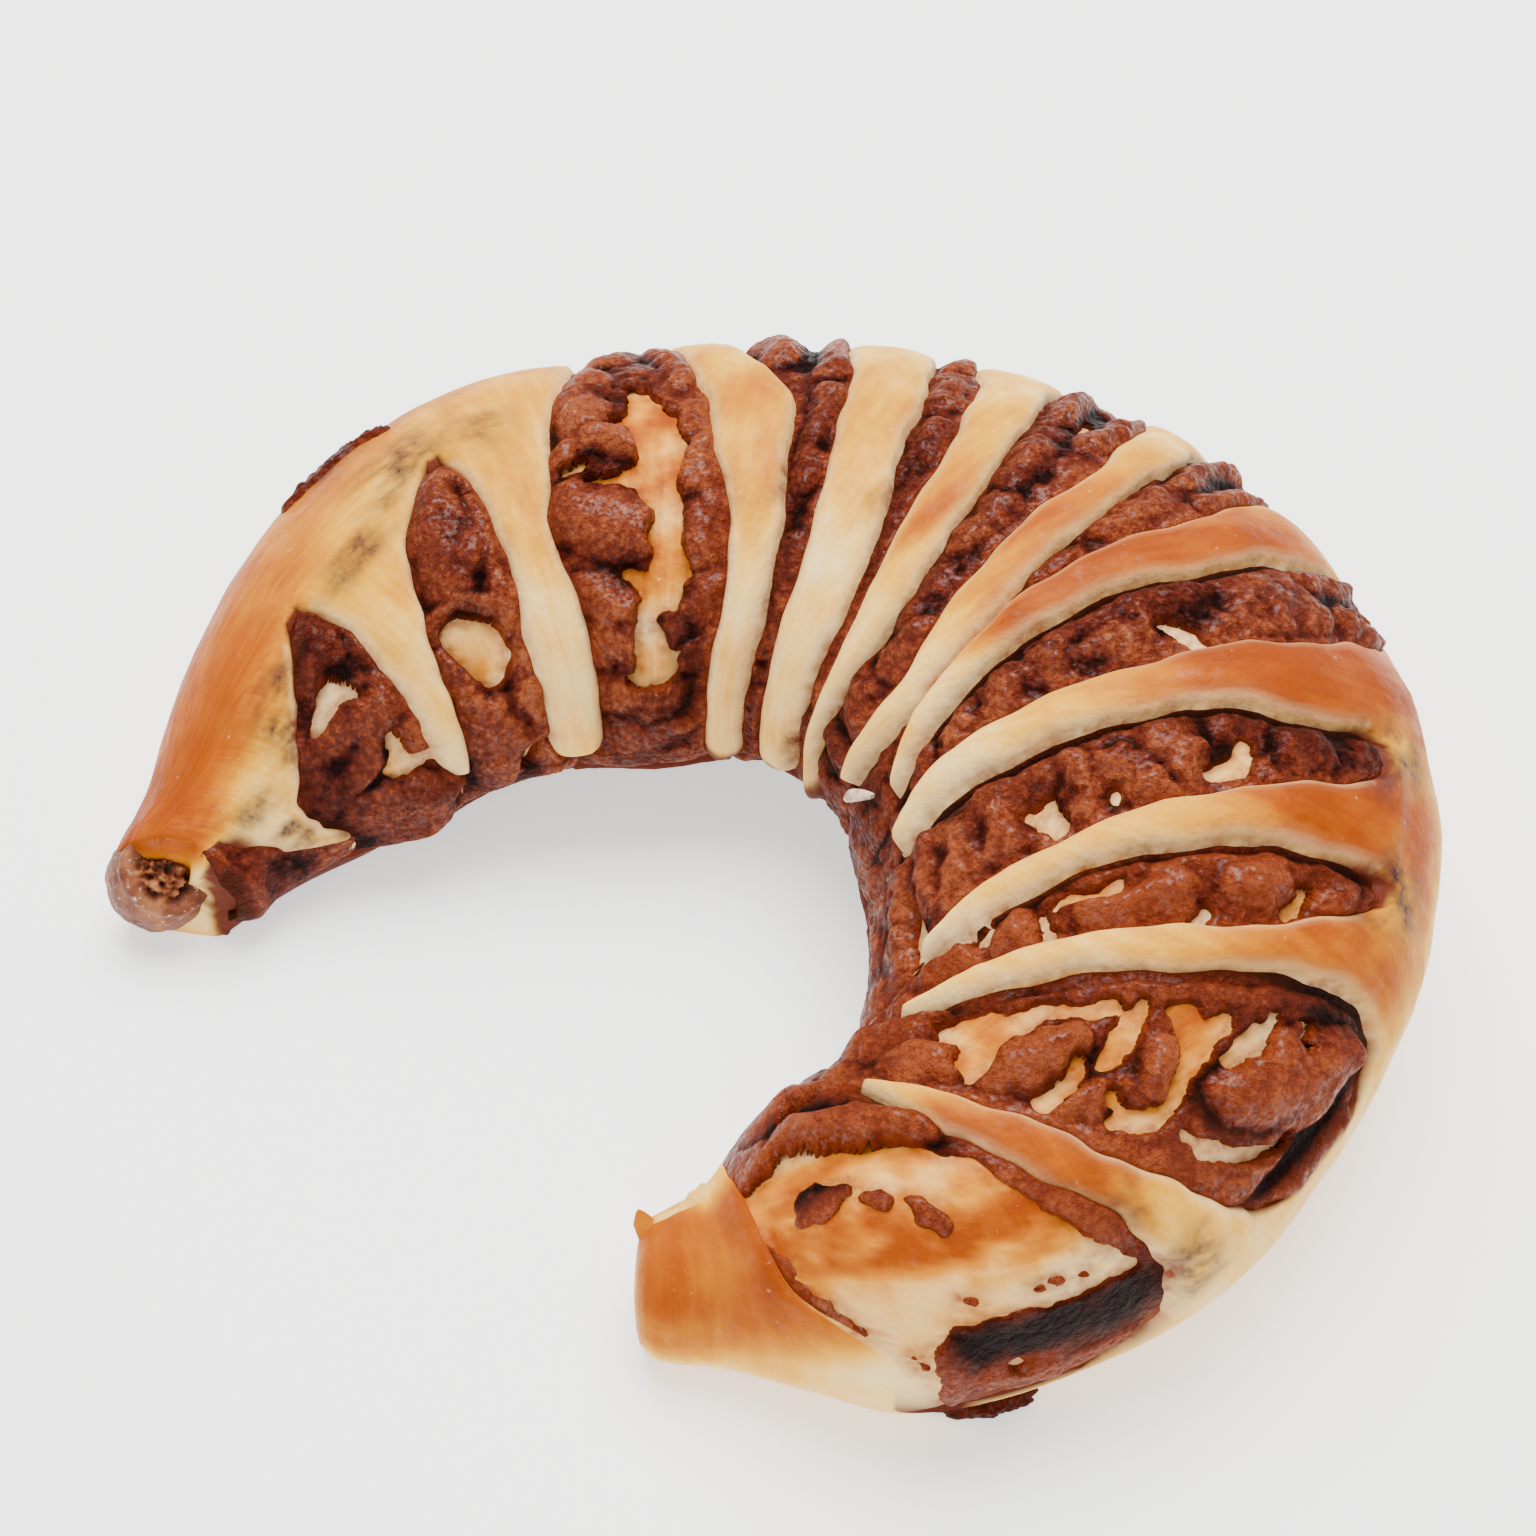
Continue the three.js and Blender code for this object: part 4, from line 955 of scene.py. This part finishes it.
for k in range(len(OPENS)):
    probe = np.linspace(OPENS[k], SHUTS[k], 60)
    left, right = window_edges(k, probe)
    widest = np.max((left - right) * ring_degree((left + right) / 2, probe)) + 2 * UNDER
    length = np.sum(np.diff(probe) * roll_degree((left + right)[1:] / 2))
    v = np.linspace(OPENS[k] - 2, SHUTS[k], int(length / CELL) + 1)[:, None]
    u = np.linspace(0, 1, int(widest / CELL) + 1)[None, :]
    left, right = window_edges(k, v)
    margin = UNDER / ring_degree((left + right) / 2, v)
    phi = mix(right - margin, left + (0.8 if k == 0 else 1) * margin, u)
    theta = np.broadcast_to(v, phi.shape)
    lift, away, inside, hollow_shade = paste_shape(k, phi, theta, on_roll(phi, theta))
    # At the left end the paste rises to a rim beside the skin, and falls away past it.
    if k == 0:
        beyond = phi - LEFT_SKIN[-1]
        lift = lift + 1.1 * np.exp(-(beyond / 1.6) ** 2) - 0.5 * np.maximum(beyond, 0) ** 2
    thin = 0.7 * (ease(0.02, 0.6, away) + 0.35 * np.exp(-np.maximum(inside, 0) / 0.4))
    thin = np.maximum(thin + REDDER[k] * np.clip(1.1 - hollow_shade, 0, 1), patches(THIN, phi, theta))
    lay_paste(f"bean_paste_{k:02d}", phi, theta, lift, away, thin, hollow_shade)

# Paste smear
# Paste that broke through the thin skin of the left arm as the dough rose. It dried to a low, ragged
# crust on the outer side.
SMEAR = [[(134, 39, 0.9), (130.5, 38, 2.2), (126.5, 40, 2.6), (123.5, 44, 1.8), (121.5, 50, 0.7)]]
phi, theta = np.meshgrid(np.linspace(118, 138, 60), np.linspace(26, 56, 50))
base = on_roll(phi, theta)
ragged = inside_strokes(SMEAR, phi, theta) + 0.7 * fractal(base, 2.4, 3, 36)
lift = mix(-1.2, 0.7 + 0.8 * (fractal(base, 2.6, 3, 12, True) - 0.4), ease(-0.3, 0.6, ragged))
away, thin = ease(0.1, -0.6, ragged), 0.4 * ease(0.8, 0, ragged)
lay_paste("bean_paste_smear", phi, theta, lift, away, thin, np.full_like(phi, 0.5))

# Paste chunk
# A lump of paste that fell from the front window and sticks to the foot of the roll. It is soft and
# grainy, and flat where it lies on the plate.
CHUNK_AT = np.array([23.4, -66.0, 1.2])
CHUNK_SIZE = np.array([5.2, 1.9, 1.7])
CHUNK_LOWEST = 0.1


# A ball of mesh, and its points as rows of a unit sphere.
def add_ball(name, segments, rings):
    bpy.ops.mesh.primitive_uv_sphere_add(segments=segments, ring_count=rings, radius=1)
    piece = bpy.context.object
    piece.name = name
    places = np.empty(len(piece.data.vertices) * 3)
    piece.data.vertices.foreach_get("co", places)
    return piece, places.reshape(-1, 3)


chunk, ball = add_ball("bean_paste_chunk", 80, 48)
lumpy = 1 + 0.35 * fractal(ball * CHUNK_SIZE, 1.8, 3, 17)
spots = CHUNK_AT + ball * CHUNK_SIZE * lumpy[:, None]
spots[:, 2] = np.maximum(spots[:, 2], CHUNK_LOWEST)
chunk.data.vertices.foreach_set("co", (spots * MM).ravel())
add_attribute(chunk, "thin", np.full(len(ball), 0.15))
add_attribute(chunk, "hollow_shade", np.full(len(ball), 0.45))
bpy.ops.object.shade_smooth()
chunk.data.materials.append(bean_paste.material)
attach(chunk, "root")

# Bean husk
# A dry, papery bit of bean skin, pale and thin, stuck to the paste on the inner wall of the ring.
# It came off a bean as the paste was mashed. Its two ends are given as ring angle and roll angle.
HUSK_FROM, HUSK_TO = (6.6, 166.4), (-1.6, 155.6)
HUSK_WIDTH, HUSK_THICKNESS = 0.55, 0.25


# A thin closed sheet through rows of points in millimetres, with values for its points.
def add_sheet(name, rows, thickness, **values):
    sheet = add_grid(name, rows)
    for attribute, given in values.items():
        add_attribute(sheet, attribute, given)
    thicken(sheet, thickness, 0)
    bpy.ops.object.mode_set(mode="EDIT")
    bpy.ops.mesh.select_all(action="SELECT")
    bpy.ops.mesh.normals_make_consistent(inside=False)
    bpy.ops.object.mode_set(mode="OBJECT")
    bpy.ops.object.shade_smooth()
    return sheet


u, v = np.meshgrid(np.linspace(0, 1, 60), np.linspace(-1, 1, 14))
wide = HUSK_WIDTH * np.sin(math.pi * u) ** 0.7 * (1 - 0.45 * u) + 0.06
phi, theta = mix(HUSK_FROM[0], HUSK_TO[0], u), mix(HUSK_FROM[1], HUSK_TO[1], u)
lift = 1.5 + 0.3 * np.sin(5 * u) - 0.15 * v * v
aside, down = 1.1 * v * wide / ring_degree(phi, theta), 0.9 * v * wide / roll_degree(phi)
husk = add_sheet("bean_husk", on_roll(phi + aside, theta - down, lift), HUSK_THICKNESS)
papery = Finish("husk")
vein = papery.mottle(scale=900, detail=4)
papery.set(Base_Color=papery.ramp(vein, [(0.2, "9A6C54"), (0.7, "DEC2AC")]), Roughness=0.6)
papery.set(Specular_IOR_Level=0.15)
papery.relief(vein, 0.0002, 0.4)
husk.data.materials.append(papery.material)
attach(husk, "root")

# Torn skin
# The upper edge of the cap, where the thin skin tore as the roll was bent: a browned, curled flap at
# the very end, and a pale ragged shred further in.
# The roll angle of its foot, how many degrees it leans over, and its thickness.
TEAR_ROLL, TEAR_LEAN, TORN_THICKNESS = 117, 6, 0.6
# How high the torn edge stands at ring angles along it.
TEAR_AT = [-89.4, -89, -88.4, -87.8, -84, -82.8, -80.8, -79.8, -78.6]
TEAR_HEIGHT = [1.4, 2.5, 2.2, 0.2, 0.1, 0.9, 1.2, 0.5, 0.1]
u, v = np.meshgrid(np.linspace(0, 1, 100), np.linspace(0, 1, 14))
phi = mix(TEAR_AT[0], TEAR_AT[-1], u)
tall = np.interp(phi, TEAR_AT, TEAR_HEIGHT)
tall = tall * (1 + 0.5 * fractal(on_roll(phi, TEAR_ROLL), 1.1, 2, 44))
end = np.interp(phi, [-89.5, -88.7, -87.9, -87], [0.75, 0.88, 0.95, 1])
curled = phi - 0.8 * v * ease(-87.6, -88.6, phi)
spots = on_roll(curled, TEAR_ROLL + TEAR_LEAN * v, mix(-0.6, tall, v), end)
browned = np.interp(phi, [-88, -87], [0.66, 0.12])
torn = add_sheet("torn_skin", spots, TORN_THICKNESS, bake=browned)
torn.data.materials.append(crust.material)
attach(torn, "root")

# Rolled end
# The middle of the roll, dough soaked brown by paste, that pokes out at the left end as a round
# button. Its tip is split open by a crumbly pit with a curled flap of dough in it.
BUTTON_AT = np.array([-70.5, -3.2, 6.8])
BUTTON_SIZE = np.array([5.9, 5.0, 6.6])
PIT_TOWARDS = np.array([0.5, -0.44, 0.8])
# The pit's reach in degrees from the tip, and its depth.
PIT_REACH, PIT_DEPTH = 52.0, 1.5
BUTTON_LOWEST = 0.1
button, ball = add_ball("rolled_end", 120, 80)
toward = PIT_TOWARDS / np.linalg.norm(PIT_TOWARDS)
side = np.cross(toward, (0, 0, 1.0))
side = side / np.linalg.norm(side)
rise = np.cross(side, toward)
off = np.degrees(np.arccos(np.clip(ball @ toward, -1, 1)))
around = np.arctan2(ball @ rise, ball @ side)
in_pit = 1 - ease(PIT_REACH * 0.75, PIT_REACH, off)
# The flap in the pit winds round as it goes in, and the rim stands up a little.
curl = np.cos(around - off / PIT_REACH * 2.5 * math.pi)
whole = ball * BUTTON_SIZE
crumbs = 0.6 * fractal(whole, 2.1, 4, 5, True) + 0.5 * fractal(whole, 1.2, 3, 6) - 0.3
depth = in_pit * (PIT_DEPTH * (0.85 - 0.12 * curl) - 1.5 * crumbs)
depth = depth - 0.5 * np.exp(-((off - PIT_REACH * 1.05) / 6) ** 2)
depth = depth - (1 - in_pit) * (0.25 * fractal(whole, 2.5, 3, 8))
spots = BUTTON_AT + ball * (BUTTON_SIZE - depth[:, None])
spots[:, 2] = np.maximum(spots[:, 2], BUTTON_LOWEST)
button.data.vertices.foreach_set("co", (spots * MM).ravel())
add_attribute(button, "pit", in_pit)
add_attribute(button, "crumbs", np.clip(0.5 + crumbs, 0, 1))
bpy.ops.object.shade_smooth()
soaked = Finish("soaked_dough")
blotch = soaked.mottle(scale=330, detail=5)
fleck = soaked.mottle(scale=1400, detail=3, low=0.62, high=0.72)
tone = soaked.ramp(blotch, [(0.1, "54281A"), (0.5, "74402C"), (0.9, "98623E")])
tone = soaked.blend(soaked.scaled(fleck, 0.7), tone, srgb("F2DCC0"))
# The crumbs in the pit are lighter where they stand up and dark in the gaps between them: painted shade in
# the gaps.
crumbly = soaked.ramp(soaked.attribute("crumbs"), [(0.2, "2E1008"), (0.46, "6A3016"), (0.85, "AA7246")])
tone = soaked.blend(soaked.attribute("pit"), tone, crumbly)
soaked.set(Base_Color=tone, Roughness=soaked.scaled(blotch, 0.2, 0.36))
soaked.set(Specular_IOR_Level=0.15)
soaked.relief(soaked.math("ADD", blotch, fleck), 0.0004, 0.5)
button.data.materials.append(soaked.material)
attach(button, "root")

# Studio
# A plain pale floor under soft light from above, seen from the photograph's angle.
# The lamps: name, place, size and watts, with the even light of the room beside them.
LAMPS = [("overhead", (0.0, 0.34, 0.9), 0.8, 24.5), ("front_fill", (-0.2, -0.9, 0.6), 0.9, 5)]
ROOM_LIGHT = 0.68
# The camera looks at a place on the floor, so many millimetres right of and behind the ring's middle.
AIM_X, AIM_Y = 13, 31
ELEVATION, CAMERA_ROLL, DISTANCE = math.radians(47.42), math.radians(0.68), 0.32727
SENSOR, LENS = 36, 60.94
bpy.ops.mesh.primitive_plane_add(size=6)
ground = bpy.context.object
ground.name = "floor"
floor_finish = Finish("pale_floor")
floor_finish.set(Base_Color=(0.93, 0.93, 0.92, 1), Roughness=0.5)
floor_finish.set(Emission_Color=(1, 1, 0.99, 1), Emission_Strength=0.9)
ground.data.materials.append(floor_finish.material)

world = bpy.data.worlds.new("studio")
bpy.context.scene.world = world
world.use_nodes = True
world.node_tree.nodes["Background"].inputs["Color"].default_value = (1, 1, 1, 1)
world.node_tree.nodes["Background"].inputs["Strength"].default_value = ROOM_LIGHT

for name, spot, size, power in LAMPS:
    bpy.ops.object.light_add(type="AREA", location=spot)
    lamp = bpy.context.object
    lamp.name = name
    lamp.data.size = size
    lamp.data.energy = power
    lamp.rotation_euler = (-Vector(spot)).to_track_quat("-Z", "Y").to_euler()

target = Vector(((RING_X + AIM_X) * MM, (RING_Y + AIM_Y) * MM, 0))
back = Vector((0, -math.cos(ELEVATION), math.sin(ELEVATION)))
level_side = Vector((1, 0, 0))
sideways = math.cos(CAMERA_ROLL) * level_side + math.sin(CAMERA_ROLL) * back.cross(level_side)
facing = Matrix((sideways, back.cross(sideways), back)).transposed().to_4x4()
bpy.ops.object.camera_add()
camera = bpy.context.object
camera.matrix_world = Matrix.Translation(target + back * DISTANCE) @ facing
camera.data.sensor_width = SENSOR
camera.data.lens = LENS
camera.data.clip_start = 0.01
bpy.context.scene.camera = camera
